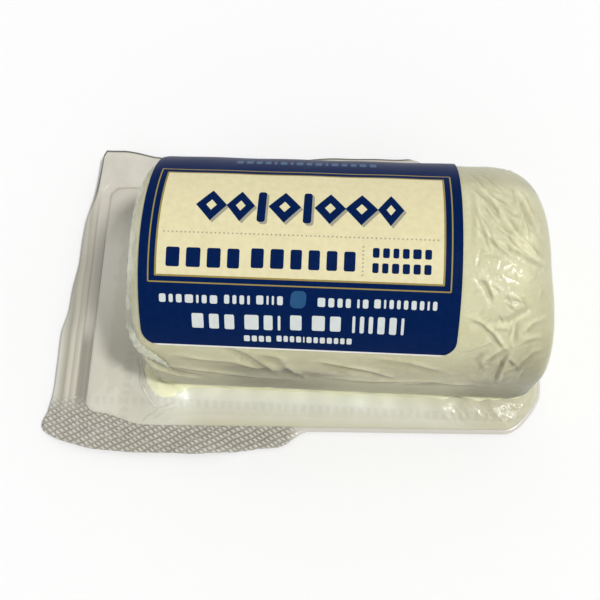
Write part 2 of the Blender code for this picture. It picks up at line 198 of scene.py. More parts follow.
def seal_columns(left_step, barrel_step, right_step):
    """The seal line, place by place: where it is, the way outward, the flange's width, and
    the place on the log's top line that the film comes down from, with its heading."""
    right_x, left_x = SEAL_RIGHT - SEAL_RIGHT_CORNER, SEAL_LEFT + SEAL_LEFT_CORNER
    low_right, high_right = SEAL_FRONT + SEAL_RIGHT_CORNER, SEAL_BACK - SEAL_RIGHT_CORNER
    low_left, high_left = SEAL_FRONT + SEAL_LEFT_CORNER, SEAL_BACK - SEAL_LEFT_CORNER
    along = run_between(left_x, BARREL_LEFT, left_step)
    along += run_between(BARREL_LEFT, FINE_FROM, barrel_step)
    along += run_between(FINE_FROM, right_x, right_step)
    along = along[1:]
    columns = []

    def corner(x, y, radius, step_length, start, width_at):
        """A quarter turn from a start in degrees. width_at takes the turn and the way out."""
        steps = max(5, round(radius * math.pi / 2.0 / step_length))
        for step in range(steps + 1):
            degrees = 90.0 * step / steps
            out_x, out_y = math.cos(math.radians(start + degrees)), math.sin(math.radians(start + degrees))
            columns.append((x + out_x * radius, y + out_y * radius, out_x, out_y,
                            width_at(degrees, abs(out_x), abs(out_y))))

    def right_width(side_width):
        def width_at(_, out_x, out_y):
            reach = (out_x / (SEAL_RIGHT_CORNER + FLANGE_SIDE)) ** FLANGE_SQUARENESS
            reach += (out_y / (SEAL_RIGHT_CORNER + side_width)) ** FLANGE_SQUARENESS
            return reach ** (-1.0 / FLANGE_SQUARENESS) - SEAL_RIGHT_CORNER
        return width_at

    def back_left_width(_, out_x, out_y):
        to_back = (SEAL_LEFT_CORNER + FLANGE_BACK_LEFT) / max(out_y, 0.001)
        to_side = (SEAL_LEFT_CORNER + FLANGE_LEFT[0][1]) / (out_x + FLANGE_LEAN * out_y)
        return min(to_back, to_side) - SEAL_LEFT_CORNER

    corner(right_x, low_right, SEAL_RIGHT_CORNER, right_step, -90, right_width(FLANGE_SIDE))
    for y in run_between(low_right, high_right, right_step)[1:]:
        columns.append((SEAL_RIGHT, y, 1.0, 0.0, FLANGE_SIDE))
    corner(right_x, high_right, SEAL_RIGHT_CORNER, right_step, 0, right_width(FLANGE_BACK))
    for x in reversed(along):
        share = min(1.0, max(0.0, (x - left_x) / FLANGE_BACK_TAPER))
        columns.append((x, SEAL_BACK, 0.0, 1.0, FLANGE_BACK_LEFT + (FLANGE_BACK - FLANGE_BACK_LEFT) * share))
    left_corner_step = min(left_step, 0.0006)
    corner(left_x, high_left, SEAL_LEFT_CORNER, left_corner_step, 90, back_left_width)
    for y in reversed(run_between(low_left, high_left, left_step)[1:]):
        share = (high_left - y) / (high_left - low_left)
        columns.append((SEAL_LEFT, y, -1.0, 0.0, np.interp(share, *zip(*FLANGE_LEFT))))
    corner(left_x, low_left, SEAL_LEFT_CORNER, left_corner_step, 180,
           lambda degrees, *_: np.interp(degrees, *zip(*FLANGE_TIP)))
    for x in along:
        width = FLANGE_FRONT_START + FLANGE_FRONT_SPREAD * (x - along[0])
        columns.append((x, SEAL_FRONT, 0.0, -1.0, min(FLANGE_SIDE, width)))

    made = np.array(columns)
    at_right = smooth(LABEL_X + 0.034, LABEL_X + 0.046, made[:, 0])
    made[:, 0] -= CORNER_PULL * smooth(AXIS_Y - 0.0195, AXIS_Y - 0.0255, made[:, 1]) * at_right
    made[:, 0] += CORNER_FLARE * np.exp(-((made[:, 1] - AXIS_Y + 0.0170) / 0.0050) ** 2) * at_right
    lifted = CORNER_LIFT * (1.0 - smooth(LABEL_X - 0.0445, LABEL_X - 0.0345, made[:, 0]))
    lifted *= smooth(AXIS_Y - 0.0195, AXIS_Y - 0.0265, made[:, 1])
    made[:, 1] += lifted
    made[:, 4] += lifted * ((made[:, 2] == 0.0) & (made[:, 3] < 0.0))
    ridge = np.clip(made[:, 0], BARREL_LEFT, BARREL_RIGHT)
    level = made[:, :2] - np.stack([ridge, np.full_like(ridge, AXIS_Y)], axis=1)
    middle = np.array([(SEAL_LEFT + SEAL_RIGHT) / 2.0, (SEAL_FRONT + SEAL_BACK) / 2.0])
    cosine, sine = math.cos(SEAL_TURN), math.sin(SEAL_TURN)
    turn = np.array([[cosine, sine], [-sine, cosine]])
    place = middle + (made[:, :2] - middle) @ turn
    return {
        "place": place, "outward": made[:, 2:4] @ turn, "width": made[:, 4], "ridge": ridge,
        "heading": level / np.linalg.norm(level, axis=1, keepdims=True),
    }


def across_of(side_y, side_z):
    """How far out a direction across the log is, where 1 is on its skin. The log's lower
    half is squarer than a circle, because it sags on its foot."""
    down = -side_z / np.maximum(np.hypot(side_y, side_z), 1e-6)
    power = 2.0 + SQUARE_FOOT * smooth(0.0, 0.5, down)
    return (np.abs(side_y) ** power + np.abs(side_z) ** power) ** (1.0 / power) / LOG_RADIUS


def end_of_log(along, side_y, side_z):
    """The depth and squareness of the log's end along a direction of unit length."""
    fuller = smooth(-0.35, 0.85, -0.8 * side_y - 0.6 * side_z)
    depth = np.where(along > 0.0, RIGHT_END_DEPTH + RIGHT_END_FULLER[0] * fuller, LEFT_END_DEPTH)
    power = np.where(along > 0.0, RIGHT_END_POWER + RIGHT_END_FULLER[1] * fuller, LEFT_END_POWER)
    return depth, power


def log_points(ridge, heading, angle):
    """Points of the bare log, for each column and each angle from its top."""
    along = np.sin(angle) * heading[:, :1]
    side_y, side_z = np.sin(angle) * heading[:, 1:], np.cos(angle)
    depth, power = end_of_log(along, side_y, side_z)
    across = across_of(side_y, side_z)
    reach = ((np.abs(along) / depth) ** power + across ** power) ** (-1.0 / power)
    return np.stack([
        ridge[:, None] + along * reach, AXIS_Y + side_y * reach, AXIS_Z + side_z * reach,
    ], axis=-1)


def place_on_log(along_mm, degrees):
    """The point of the bare log at a place along it and an angle from its top."""
    x, turn = LABEL_X + along_mm / 1000.0, math.radians(degrees)
    beyond = x - min(BARREL_RIGHT, max(BARREL_LEFT, x))
    side = np.array([-math.sin(turn), math.cos(turn)])
    across = float(across_of(*side))
    radius = 0.8 / across
    for _ in range(6):
        unit = side * radius / math.hypot(beyond, radius)
        depth, power = end_of_log(beyond, *unit)
        share = max(0.0, 1.0 - (abs(beyond) / float(depth)) ** float(power))
        radius = (radius + share ** (1.0 / float(power)) / across) / 2.0
    radius = share ** (1.0 / float(power)) / across
    return np.array([x, AXIS_Y - radius * math.sin(turn), AXIS_Z + radius * math.cos(turn)])


def place_on_end(way, over_mm, high_mm):
    """The point of the log's right (1) or left (-1) end at a place across it."""
    side, beyond = np.array([over_mm, high_mm]) * MM, 0.010
    for _ in range(5):
        depth, power = end_of_log(way * beyond, *side / math.hypot(beyond, *side))
        share = max(0.0, 1.0 - float(across_of(*side)) ** float(power))
        beyond = float(depth) * share ** (1.0 / float(power))
    from_end = (BARREL_RIGHT if way > 0.0 else BARREL_LEFT) + way * beyond
    return np.array([from_end, AXIS_Y + side[0], AXIS_Z + side[1]])


def spread_evenly(lines, count):
    """Count + 1 points at even distances along each line of points."""
    steps = np.linalg.norm(np.diff(lines, axis=1), axis=2)
    runs = np.concatenate([np.zeros((len(lines), 1)), np.cumsum(steps, axis=1)], axis=1)
    spread = np.empty((len(lines), count + 1, 3))
    for number, (line, run) in enumerate(zip(lines, runs)):
        wanted = np.linspace(0.0, run[-1], count + 1)
        for axis in range(3):
            spread[number, :, axis] = np.interp(wanted, run, line[:, axis])
    return spread


def film_lines(columns):
    """The film's sampled lines on the log and over the shelf, one of each per column."""
    ridge, place, heading = columns["ridge"], columns["place"], columns["heading"]
    height = TUCK_HEIGHT + TUCK_WAVE * np.sin(place[:, 0] * 720.0 + 1.0) * np.sin(place[:, 0] * 310.0)
    low, high = np.full(len(ridge), math.pi / 2.0), np.full(len(ridge), math.pi)
    for _ in range(40):
        middle = (low + high) / 2.0
        above = log_points(ridge, heading, middle[:, None])[:, 0, 2] > height
        low, high = np.where(above, middle, low), np.where(above, high, middle)
    share = np.linspace(0.0, 1.0, FOLD_SAMPLES + 1)
    on_log = log_points(ridge, heading, low[:, None] * share)
    start = on_log[:, -1]
    end = np.concatenate([place, np.full((len(place), 1), SEAL_HEIGHT + FILM_OVER_SEAL)], axis=1)
    across = end - start
    under, shelf = start + across * 0.10, start + across * SHELF_SHARE
    under[:, 2], shelf[:, 2] = SHELF_HEIGHT * 0.85, SHELF_HEIGHT
    tent = sum(weight[None, :, None] * point[:, None, :] for weight, point in (
        ((1.0 - share) ** 3, start), (3.0 * (1.0 - share) ** 2 * share, under),
        (3.0 * (1.0 - share) * share ** 2, shelf), (share ** 3, end),
    ))
    off = np.hypot(tent[..., 0] - FOOT_CENTRE[0], tent[..., 1] - FOOT_CENTRE[1]) / FOOT_RADIUS
    tent[..., 2] += FOOT_HEIGHT * np.exp(-off * off) * np.sin(math.pi * share)
    return on_log, tent


def grid_normals(grid):
    """Outward normals of a ring of columns that start on the log's top line."""
    round_it = np.roll(grid, -1, axis=0) - np.roll(grid, 1, axis=0)
    normals = np.cross(np.gradient(grid, axis=1), round_it)
    normals[:, 0] = (0.0, 0.0, 1.0)
    return normals / np.maximum(np.linalg.norm(normals, axis=2, keepdims=True), 1e-12)


def folds_at(points, normals, sharpness):
    """How far the film's folds stand off the bare log, in metres. sharpness over 1 narrows
    and deepens them."""
    flat, facing = points.reshape(-1, 3), normals.reshape(-1, 3)
    height = np.zeros(len(flat))
    for line, half_width, depth, lip in FOLDS + fine_folds():
        knots = np.array([place_on_log(*at) if len(at) == 2 else place_on_end(*at) for at in line])
        near = np.all((flat > knots.min(0) - 0.004) & (flat < knots.max(0) + 0.004), axis=1)
        place, normal = flat[near], facing[near]
        lengths = np.r_[0.0, np.cumsum(np.linalg.norm(np.diff(knots, axis=0), axis=1))]
        best, side, along = np.full(len(place), 1.0), np.zeros(len(place)), np.zeros(len(place))
        for first, last, begun, done in zip(knots, knots[1:], lengths, lengths[1:]):
            way = last - first
            share = np.clip((place - first) @ way / (way @ way), 0.0, 1.0)
            off = place - (first + share[:, None] * way)
            distance = np.linalg.norm(off, axis=1)
            left = np.sum(np.cross(normal, way) * off, axis=1)
            closer = distance < best
            best = np.where(closer, distance, best)
            side = np.where(closer, np.sign(left), side)
            along = np.where(closer, (begun + share * (done - begun)) / lengths[-1], along)
        fade = 0.25 + 0.75 * smooth(0.0, 0.2, along) * (1.0 - smooth(0.8, 1.0, along))
        wide = half_width / 1000.0 / sharpness
        bent = -depth * np.exp(-(best / wide) ** 2)
        beside = (best * side * math.copysign(1.0, lip) - 1.9 * wide) / wide
        bent += abs(lip) * np.exp(-beside ** 2)
        height[near] += bent * fade * sharpness ** 0.5 / 1000.0
    for centre, radius, rise in BLISTERS:
        off = np.linalg.norm(flat - place_on_log(*centre), axis=1) / (radius / 1000.0)
        height += rise / 1000.0 * np.clip(1.0 - off * off, 0.0, 1.0) ** 0.8
    return height.reshape(points.shape[:2])


def ripples_at(points, seed, count, finest, coarsest):
    """Short fine ridges that cross each other, from 0 to about 1."""
    draw = random.Random(seed)
    total = np.zeros(points.shape[:2])
    for _ in range(count):
        way = Vector([draw.gauss(0.0, 1.0) for _ in range(3)]).normalized()
        across = Vector([draw.gauss(0.0, 1.0) for _ in range(3)]).cross(way).normalized()
        length = draw.uniform(finest, coarsest)
        wave = points @ np.array(way) / length * math.tau + draw.uniform(0.0, math.tau)
        wave += 1.3 * np.sin(points @ np.array(across) / (length * 3.1) * math.tau + draw.uniform(0, 6))
        patch = np.sin(points @ np.array(across) / (length * 2.3) * math.tau + draw.uniform(0.0, 6.0))
        total += (1.0 - np.abs(np.sin(wave))) ** 3 * smooth(0.0, 0.8, patch)
    return total / count


# Where the label holds the film flat: from its middle to each side, and the turns of its back
# and front edges in degrees; and how high the fine and the broad ripples stand beyond it, at
# the right end, at the left end and low down
LABEL_SIDES, LABEL_BACK_EDGE, LABEL_FRONT_EDGE = (0.0276, 0.0284), (-104.0, -100.0), (63.0, 65.5)
FINE_RIPPLES, BROAD_RIPPLES = (0.00024, 0.00034, 0.00010), (0.00020, 0.00036, 0.00020)
SHELF_RIPPLES, CORNER_RIPPLES, CRUMPLED_CORNER = 0.00011, 0.00065, (LABEL_X + 0.0445, AXIS_Y - 0.0210)


def film_relief(points, normals, on_log, sharpness):
    """All that the film's folds and ripples add to the bare log and to the shelf."""
    from_label = points[..., 0] - LABEL_X
    turn = np.degrees(np.arctan2(AXIS_Y - points[..., 1], points[..., 2] - AXIS_Z))
    under_label = smooth(-LABEL_SIDES[1], -LABEL_SIDES[0], from_label)
    under_label *= 1.0 - smooth(*LABEL_SIDES, from_label)
    under_label *= smooth(*LABEL_BACK_EDGE, turn) * (1.0 - smooth(*LABEL_FRONT_EDGE, turn))
    right_end = smooth(0.0285, 0.0325, from_label)
    left_end = 1.0 - smooth(-0.0310, -0.0275, from_label)
    low = smooth(66.0, 84.0, np.abs(turn)) * on_log
    to_blister = np.linalg.norm(points - place_on_log(*BLISTERS[0][0]), axis=-1)
    ripple = ripples_at(points, 11, 16, 0.0016, 0.0042) * (0.25 + 0.75 * smooth(0.0020, 0.0034, to_blister))
    broad = ripples_at(points, 23, 8, 0.0055, 0.0100)
    height = folds_at(points, normals, sharpness) * on_log
    parts = (right_end, left_end, low)
    height += sum(high * part for high, part in zip(FINE_RIPPLES, parts)) * ripple * sharpness
    height += sum(high * part for high, part in zip(BROAD_RIPPLES, parts)) * (broad - 0.3)
    above_middle = smooth(AXIS_Z - 0.0100, AXIS_Z - 0.0030, points[..., 2])
    height *= 1.0 - 0.70 * smooth(0.0392, 0.0435, from_label) * above_middle
    to_corner = np.hypot(points[..., 0] - CRUMPLED_CORNER[0], points[..., 1] - CRUMPLED_CORNER[1])
    shelf_ripples = SHELF_RIPPLES + CORNER_RIPPLES * (1.0 - smooth(0.0030, 0.0085, to_corner))
    height += shelf_ripples * (1.0 - on_log) * (ripple + broad - 0.3) * sharpness
    return height * (1.0 - 0.97 * under_label)


def mesh_piece(name, points, faces, merge=True, normals_out=True, marks=None):
    """A piece's object from its points and faces, smooth. Marks are named values on its
    points. Doubles are merged unless merge is off."""
    shape = bmesh.new()
    mesh = bpy.data.meshes.new(name)
    mesh.from_pydata([tuple(point) for point in points], [], faces)
    for mark, values in (marks or {}).items():
        layer = mesh.attributes.new(mark, "FLOAT", "POINT")
        layer.data.foreach_set("value", np.asarray(values, dtype=np.float32).ravel())
    shape.from_mesh(mesh)
    if merge:
        bmesh.ops.remove_doubles(shape, verts=shape.verts, dist=0.000004)
        bmesh.ops.dissolve_degenerate(shape, edges=shape.edges, dist=0.000001)
    if normals_out:
        bmesh.ops.recalc_face_normals(shape, faces=shape.faces)
    shape.to_mesh(mesh)
    shape.free()
    mesh.shade_smooth()
    made = bpy.data.objects.new(name, mesh)
    bpy.context.scene.collection.objects.link(made)
    return made


def ring_faces(columns, rows, first=0, turned=False):
    """Faces between neighbouring columns of a closed ring of them."""
    faces = []
    for column in range(columns):
        here, beyond = first + column * rows, first + (column + 1) % columns * rows
        for row in range(rows - 1):
            face = (here + row, here + row + 1, beyond + row + 1, beyond + row)
            faces.append(face[::-1] if turned else face)
    return faces


def ring_edge(columns, near, far):
    """Faces that join two rings of points, each given by its first point and the step from
    column to column."""
    (near, near_step), (far, far_step) = near, far
    nexts = [(column + 1) % columns for column in range(columns)]
    return [
        (near + here * near_step, far + here * far_step, far + beyond * far_step, near + beyond * near_step)
        for here, beyond in enumerate(nexts)
    ]


def finish_piece(piece, node):
    """Hides the CAD part that a finished piece replaces and hangs the piece under the root."""
    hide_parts(node)
    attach(piece, "root")


# Where the cheese is squeezed out over the shelf: middle from the label's middle and the
# log's axis, and half sizes, in mm
LOBES = [((-29.8, -19.4), (5.6, 6.2)), ((-33.0, -11.0), (2.2, 6.0)), ((39.0, -16.0), (5.0, 4.6))]
FRINGE = (0.0012, 0.0005)


def cheese_reach(columns, tent):
    """How far over the shelf the cheese is squeezed out, as a share of the shelf."""
    place, length = columns["place"], np.linalg.norm(tent[:, -1] - tent[:, 0], axis=1)
    front = smooth(AXIS_Y - 0.006, AXIS_Y - 0.022, place[:, 1])
    wave = np.sin(place[:, 0] * 640.0) + 0.6 * np.sin(place[:, 0] * 1490.0 + 2.0)
    fringe = FRINGE[0] * (0.35 + 0.65 * front) + FRINGE[1] * wave * front
    reach = np.clip(fringe / length, 0.03, 0.5)
    share = np.linspace(0.0, 1.0, tent.shape[1])
    for (x, y), (half_x, half_y) in LOBES:
        off_x = (tent[..., 0] - LABEL_X) * 1000.0 - x
        off_y = (tent[..., 1] - AXIS_Y) * 1000.0 - y
        inside = (off_x / half_x) ** 2 + (off_y / half_y) ** 2 < 1.0
        reach = np.maximum(reach, np.max(inside * share[None, :], axis=1))
    for _ in range(6):
        reach = 0.5 * reach + 0.25 * (np.roll(reach, 1) + np.roll(reach, -1))
    return reach


def tent_at(tent, share):
    """Points of each column's shelf line at that column's own share of its length."""
    places = np.empty((len(tent), share.shape[1], tent.shape[2]))
    known = np.linspace(0.0, 1.0, tent.shape[1])
    for number in range(len(tent)):
        for axis in range(tent.shape[2]):
            places[number, :, axis] = np.interp(share[number], known, tent[number, :, axis])
    return places


LOG_ROWS, FOOT_ROWS, CHEESE_SHARPNESS = 156, 10, 1.18
UNDER_FILM, UNDER_FILM_FOOT, UNDER_FILM_EDGE = 0.00016, 0.00010, 0.00026
CHEESE_BOTTOM = 0.0007
log_columns = seal_columns(0.0007, 0.0010, 0.00028)
log_line, tent_line = film_lines(log_columns)
reach = cheese_reach(log_columns, tent_line)
foot_share = reach[:, None] * np.linspace(0.0, 1.0, FOOT_ROWS + 1)
cheese_top = np.concatenate([
    spread_evenly(log_line, LOG_ROWS), tent_at(tent_line, foot_share)[:, 1:],
], axis=1)
facing = grid_normals(cheese_top)
shelf = np.linspace(0.0, 1.0, FOLD_SAMPLES + 1)
shelf_facing = grid_normals(tent_line)
shelf_facing[:, 0] = shelf_facing[:, 1]
shelf_relief = film_relief(tent_line, shelf_facing, 1.0 - smooth(0.0, 0.35, shelf), 1.0)
shelf_relief = (shelf_relief * (1.0 - smooth(0.85, 1.0, shelf)))[..., None]
wrinkled_tent = tent_line + shelf_facing * shelf_relief
over_log = slice(0, LOG_ROWS + 1)
relief = film_relief(cheese_top[:, over_log], facing[:, over_log], 1.0, CHEESE_SHARPNESS)
cheese_top[:, over_log] += facing[:, over_log] * relief[..., None]
cheese_top[:, LOG_ROWS + 1:] = tent_at(wrinkled_tent, foot_share)[:, 1:]
relief = np.concatenate([relief, tent_at(shelf_relief, foot_share)[:, 1:, 0]], axis=1)
out_share = np.linspace(0.0, 1.0, FOOT_ROWS + 1)[1:]
under_foot = UNDER_FILM + (UNDER_FILM_FOOT - UNDER_FILM) * smooth(0.0, 0.4, out_share)
under_foot += (UNDER_FILM_EDGE - UNDER_FILM_FOOT) * smooth(0.55, 1.0, out_share)
under_film = np.concatenate([np.full(LOG_ROWS + 1, UNDER_FILM), under_foot])
cheese_top -= facing * under_film[:, None]
axis_points = np.stack([
    log_columns["ridge"], np.full(len(reach), AXIS_Y), np.full(len(reach), CHEESE_BOTTOM),
], axis=1)
edge = cheese_top[:, -1]
under_edge = edge + (axis_points - edge) * 0.10
under_edge[:, 2] = np.maximum(CHEESE_BOTTOM + 0.0002, edge[:, 2] - 0.0022)
bottom = edge + (axis_points - edge) * 0.24
bottom[:, 2] = CHEESE_BOTTOM
cheese_points = np.concatenate([
    cheese_top, under_edge[:, None], bottom[:, None], axis_points[:, None],
], axis=1)
# What the colour takes from the shape: the folds' depth; painted shade on the sides away from the
# light, on the right end and under the folds low at the front and right; and the foot
crease = np.concatenate([relief / MM, np.zeros((len(relief), 3))], axis=1)
along, over, high = (cheese_points[..., part] - (LABEL_X, AXIS_Y, 0.0)[part] for part in range(3))
# Painted shade under the folds low on the front and on the right end
tuck_shade = 1.35 * smooth(0.0262, 0.0225, high) * np.exp(-((along + 0.0040) / 0.0105) ** 4)
right_tuck = 0.6 * smooth(0.0360, 0.0300, high) + 0.6 * smooth(0.0250, 0.0210, high)
tuck_shade += right_tuck * smooth(0.028, 0.036, along)
tuck_shade *= smooth(-0.0080, -0.0140, over)
# Painted shade on the front underside, low down and on the back, away from the light
side_shade = (1.0 - 0.25 * smooth(-0.0175, -0.0212, over)) * (1.0 - 0.20 * smooth(0.0215, 0.0120, high))
side_shade *= (1.0 - 0.24 * smooth(0.0080, 0.0125, over)) * (1.0 - 0.26 * tuck_shade)
on_end = np.ones_like(side_shade)
on_end[:, :facing.shape[1]] = smooth(0.72, 0.96, np.abs(facing[..., 0]))
# The right end gets painted shade too; the side shade stays off the ends' faces
shade = (1.0 - 0.22 * smooth(0.0370, 0.0435, along)) * (1.0 - (1.0 - on_end) * (1.0 - side_shade))
foot_rows = smooth(LOG_ROWS - 2.0, LOG_ROWS + 1.0, np.arange(cheese_points.shape[1]))
foot = np.broadcast_to(foot_rows, tuck_shade.shape)
cheese = mesh_piece(
    "cheese_log", cheese_points.reshape(-1, 3), ring_faces(*cheese_points.shape[:2]),
    marks={"crease": crease, "shade": shade, "foot": foot},
)


class Nodes:
    """Short ways to add nodes to a node tree and link them."""

    def __init__(self, tree):
        self.tree = tree

    def fill(self, node, values):
        for key, value in values.items():
            if hasattr(value, "is_output"):
                self.tree.links.new(value, node.inputs[key])
            else:
                node.inputs[key].default_value = value
        return node

    def surface(self, values):
        """Links or sets what the material's surface takes."""
        self.fill(self.tree.nodes["Principled BSDF"], values)

    def add(self, kind, values=None, **settings):
        node = self.tree.nodes.new(kind)
        for key, value in settings.items():
            setattr(node, key, value)
        return self.fill(node, values or {})

    def place(self):
        return self.add("ShaderNodeTexCoord").outputs["Object"]

    def axes(self, place):
        """The X, Y and Z of a place."""
        return self.add("ShaderNodeSeparateXYZ", {"Vector": place}).outputs

    def mark(self, name):
        """A value that the mesh carries on its points."""
        return self.add("ShaderNodeAttribute", attribute_name=name).outputs["Fac"]

    def math(self, operation, *values):
        return self.add("ShaderNodeMath", dict(enumerate(values)), operation=operation).outputs["Value"]

    def noise(self, place, scale, detail, roughness=0.5):
        return self.add("ShaderNodeTexNoise", {"Vector": place, "Scale": scale, "Detail": detail,
                                               "Roughness": roughness}).outputs["Fac"]

    def spread(self, value, low=0.0, high=1.0, least=0.0, most=1.0, curve="LINEAR"):
        """A value's run from low to high, spread over least to most."""
        return self.add("ShaderNodeMapRange", {
            "Value": value, "From Min": low, "From Max": high, "To Min": least, "To Max": most,
        }, interpolation_type=curve).outputs["Result"]

    def mixed(self, share, first, second, blend="MIX"):
        """Two colours mixed, where share 1 is the second."""
        first, second = ((*part, 1.0) if isinstance(part, tuple) else part for part in (first, second))
        return self.add("ShaderNodeMix", {"Factor": share, 6: first, 7: second}, data_type="RGBA",
                        blend_type=blend).outputs[2]

    def ramp(self, factor, *stops):
        """A colour ramp. Each stop is a place and a colour."""
        ramp = self.add("ShaderNodeValToRGB", {"Fac": factor})
        elements = ramp.color_ramp.elements
        while len(elements) < len(stops):
            elements.new(0.5)
        for element, (place, colour) in zip(elements, stops):
            element.position, element.color = place, (*colour, 1.0)
        return ramp.outputs["Color"]

    def bump(self, height, strength, distance):
        return self.add("ShaderNodeBump", {"Height": height, "Strength": strength,
                                           "Distance": distance}).outputs["Normal"]


def new_look(name, piece):
    """A new material on a piece, and the short ways to add nodes to it."""
    look = bpy.data.materials.new(name)
    look.use_nodes = True
    piece.data.materials.append(look)
    return Nodes(look.node_tree)


nodes = new_look("fresh_goat_cheese", cheese)
coords = nodes.place()
mottle = nodes.noise(coords, 90.0, 4.0, 0.6)
grain = nodes.noise(coords, 1500.0, 3.0, 0.6)
curd = nodes.add("ShaderNodeTexVoronoi", {"Vector": coords, "Scale": 620.0, "Randomness": 1.0})
body_colour = nodes.ramp(
    mottle, (0.30, (0.690, 0.660, 0.430)), (0.52, (0.738, 0.712, 0.482)), (0.74, (0.786, 0.765, 0.540)))
tint = nodes.mixed(1.0, body_colour, nodes.spread(grain, 0.35, 0.70, 0.96, 1.03), "MULTIPLY")
# Greyer and darker at the left end: the film's greenish tint, and painted shade on the end away from the
# light
left_end = nodes.spread(nodes.axes(coords)["X"], LABEL_X - 0.0275, LABEL_X - 0.0300, 0.0, 0.70)
greener_and_shaded = nodes.mixed(left_end, tint, (0.480, 0.485, 0.385))
on_foot = nodes.mark("foot")
# The foot: a paler whey colour, and painted light where the log's shadow falls on it
whey_and_painted_light = nodes.mixed(nodes.math("MULTIPLY", on_foot, 0.80), greener_and_shaded, (0.940, 0.940, 0.660))
# Painted shade in the folds' valleys and a painted highlight on their ridges
painted_fold_shading = nodes.spread(nodes.mark("crease"), -0.26, 0.16, 0.80, 1.04)
# All the painted shade together; the foot is left without it
all_painted_shading = nodes.math("MULTIPLY", painted_fold_shading, nodes.mark("shade"))
even = nodes.add("ShaderNodeMix", {"Factor": on_foot, 2: all_painted_shading, 3: 1.0}).outputs[0]
nodes.surface({
    "Base Color": nodes.mixed(1.0, whey_and_painted_light, even, "MULTIPLY"),
    "Normal": nodes.bump(nodes.math("ADD", grain, curd.outputs["Distance"]), 0.30, 0.00012),
    "Roughness": 0.62, "Subsurface Weight": 0.35, "Subsurface Radius": (1.0, 0.85, 0.55),
    "Subsurface Scale": 0.0004, "Specular IOR Level": 0.35,
})
finish_piece(cheese, "sealed_pack")


# The backing film
# The flat lower film of the pack, milky and a little stiff. It lies flat under the log,
# and outside the log's foot the vacuum draws it up against the formed film, out to the
# seal line.

BACKING_GAP, BACKING_THICKNESS, BACKING_FLOOR = 0.00018, 0.00012, 0.00014
# Faint marks show through the strip in front and the web at the left: where each row starts
# and ends across, and the pitch of its blocks
STRIP_MARKS, SIDE_MARKS, MARK_PITCH = (-0.0262, -0.0247), (-0.0352, -0.0336), 0.00085
# Under the cheese's foot the backing dives to the table in three rows: their shares of the
# squeezed-out part, and how far each is below it
BACKING_ROWS, DIVE, DIVE_DROP = 30, np.array([[0.55, 0.35, 0.10]]), [0.0008, 0.0024, 0.0060]
upright = np.array([0.0, 0.0, 1.0])
start_share = reach[:, None] * 0.70
backing_share = np.concatenate([
    np.linspace(1.0, 0.0, BACKING_ROWS)[None, :] * (1.0 - start_share) + start_share,
    reach[:, None] * DIVE,
], axis=1)
backing_top = tent_at(wrinkled_tent, backing_share)
drop = np.concatenate([np.full(BACKING_ROWS, BACKING_GAP), DIVE_DROP])
backing_top[..., 2] = np.maximum(backing_top[..., 2] - drop, BACKING_FLOOR)
backing_top[:, -1, 2] = BACKING_FLOOR
inner_floor = axis_points.copy()
inner_floor[:, 2] = BACKING_FLOOR
mid_floor = (inner_floor + backing_top[:, -1]) / 2.0
backing_top = np.concatenate([backing_top, mid_floor[:, None], inner_floor[:, None]], axis=1)
backing_under = backing_top - upright * BACKING_THICKNESS
columns_made, rows_made = backing_top.shape[:2]
faces = ring_faces(columns_made, rows_made, 0, turned=True)
faces += ring_faces(columns_made, rows_made, columns_made * rows_made)
for column in range(columns_made):
    here, beyond = column * rows_made, (column + 1) % columns_made * rows_made
    below = columns_made * rows_made
    faces.append((here, beyond, below + beyond, below + here))
shelf_length = np.linalg.norm(tent_line[:, -1] - tent_line[:, 0], axis=1)[:, None]
from_log = np.concatenate([backing_share * shelf_length, np.zeros((columns_made, 2))], axis=1)
backing = mesh_piece(
    "backing_film", np.concatenate([backing_top.reshape(-1, 3), backing_under.reshape(-1, 3)]), faces,
    marks={"from_log": np.concatenate([from_log.ravel(), from_log.ravel()])},
)


def effect_tree(name, inputs, outputs):
    """An empty node group for an effect that several materials share."""
    tree = bpy.data.node_groups.new(name, "ShaderNodeTree")
    for sockets, way in ((inputs, "INPUT"), (outputs, "OUTPUT")):
        for socket, kind in sockets.items():
            tree.interface.new_socket(socket, in_out=way, socket_type="NodeSocket" + kind)
    return tree


# The cloudiness that both films share
film_cloud = effect_tree("film_cloud", {"Place": "Vector", "Scale": "Float"}, {"Cloud": "Float"})
nodes = Nodes(film_cloud)
given = nodes.add("NodeGroupInput").outputs
nodes.add("NodeGroupOutput", {"Cloud": nodes.noise(given["Place"], given["Scale"], 5.0, 0.6)})


def cloud_of(nodes, place, scale):
    group = nodes.add("ShaderNodeGroup", {"Place": place, "Scale": scale}, node_tree=film_cloud)
    return group.outputs["Cloud"]


nodes = new_look("milky_backing", backing)
coords = nodes.place()
at_x, at_y, _ = nodes.axes(coords)
cloud = cloud_of(nodes, coords, 260.0)
whiteness = nodes.ramp(cloud, (0.3, (0.700, 0.700, 0.620)), (0.7, (0.790, 0.792, 0.722)))
# Painted light: the web is paler towards the back, where the log's shadow falls on it
in_shade = nodes.spread(at_y, AXIS_Y - 0.0130, AXIS_Y + 0.0030)
web_colour = nodes.mixed(in_shade, (0.660, 0.640, 0.550), (0.850, 0.818, 0.730))
far_back = nodes.spread(at_y, AXIS_Y + 0.0120, AXIS_Y + 0.0210)
web_colour = nodes.mixed(far_back, web_colour, (0.600, 0.570, 0.500))
colour = nodes.mixed(nodes.spread(at_x, -0.0240, -0.0300), whiteness, web_colour)
near_log = nodes.spread(nodes.mark("from_log"), 0.0040, 0.0012, 0.0, 0.75)
colour = nodes.mixed(near_log, colour, (0.790, 0.800, 0.590))
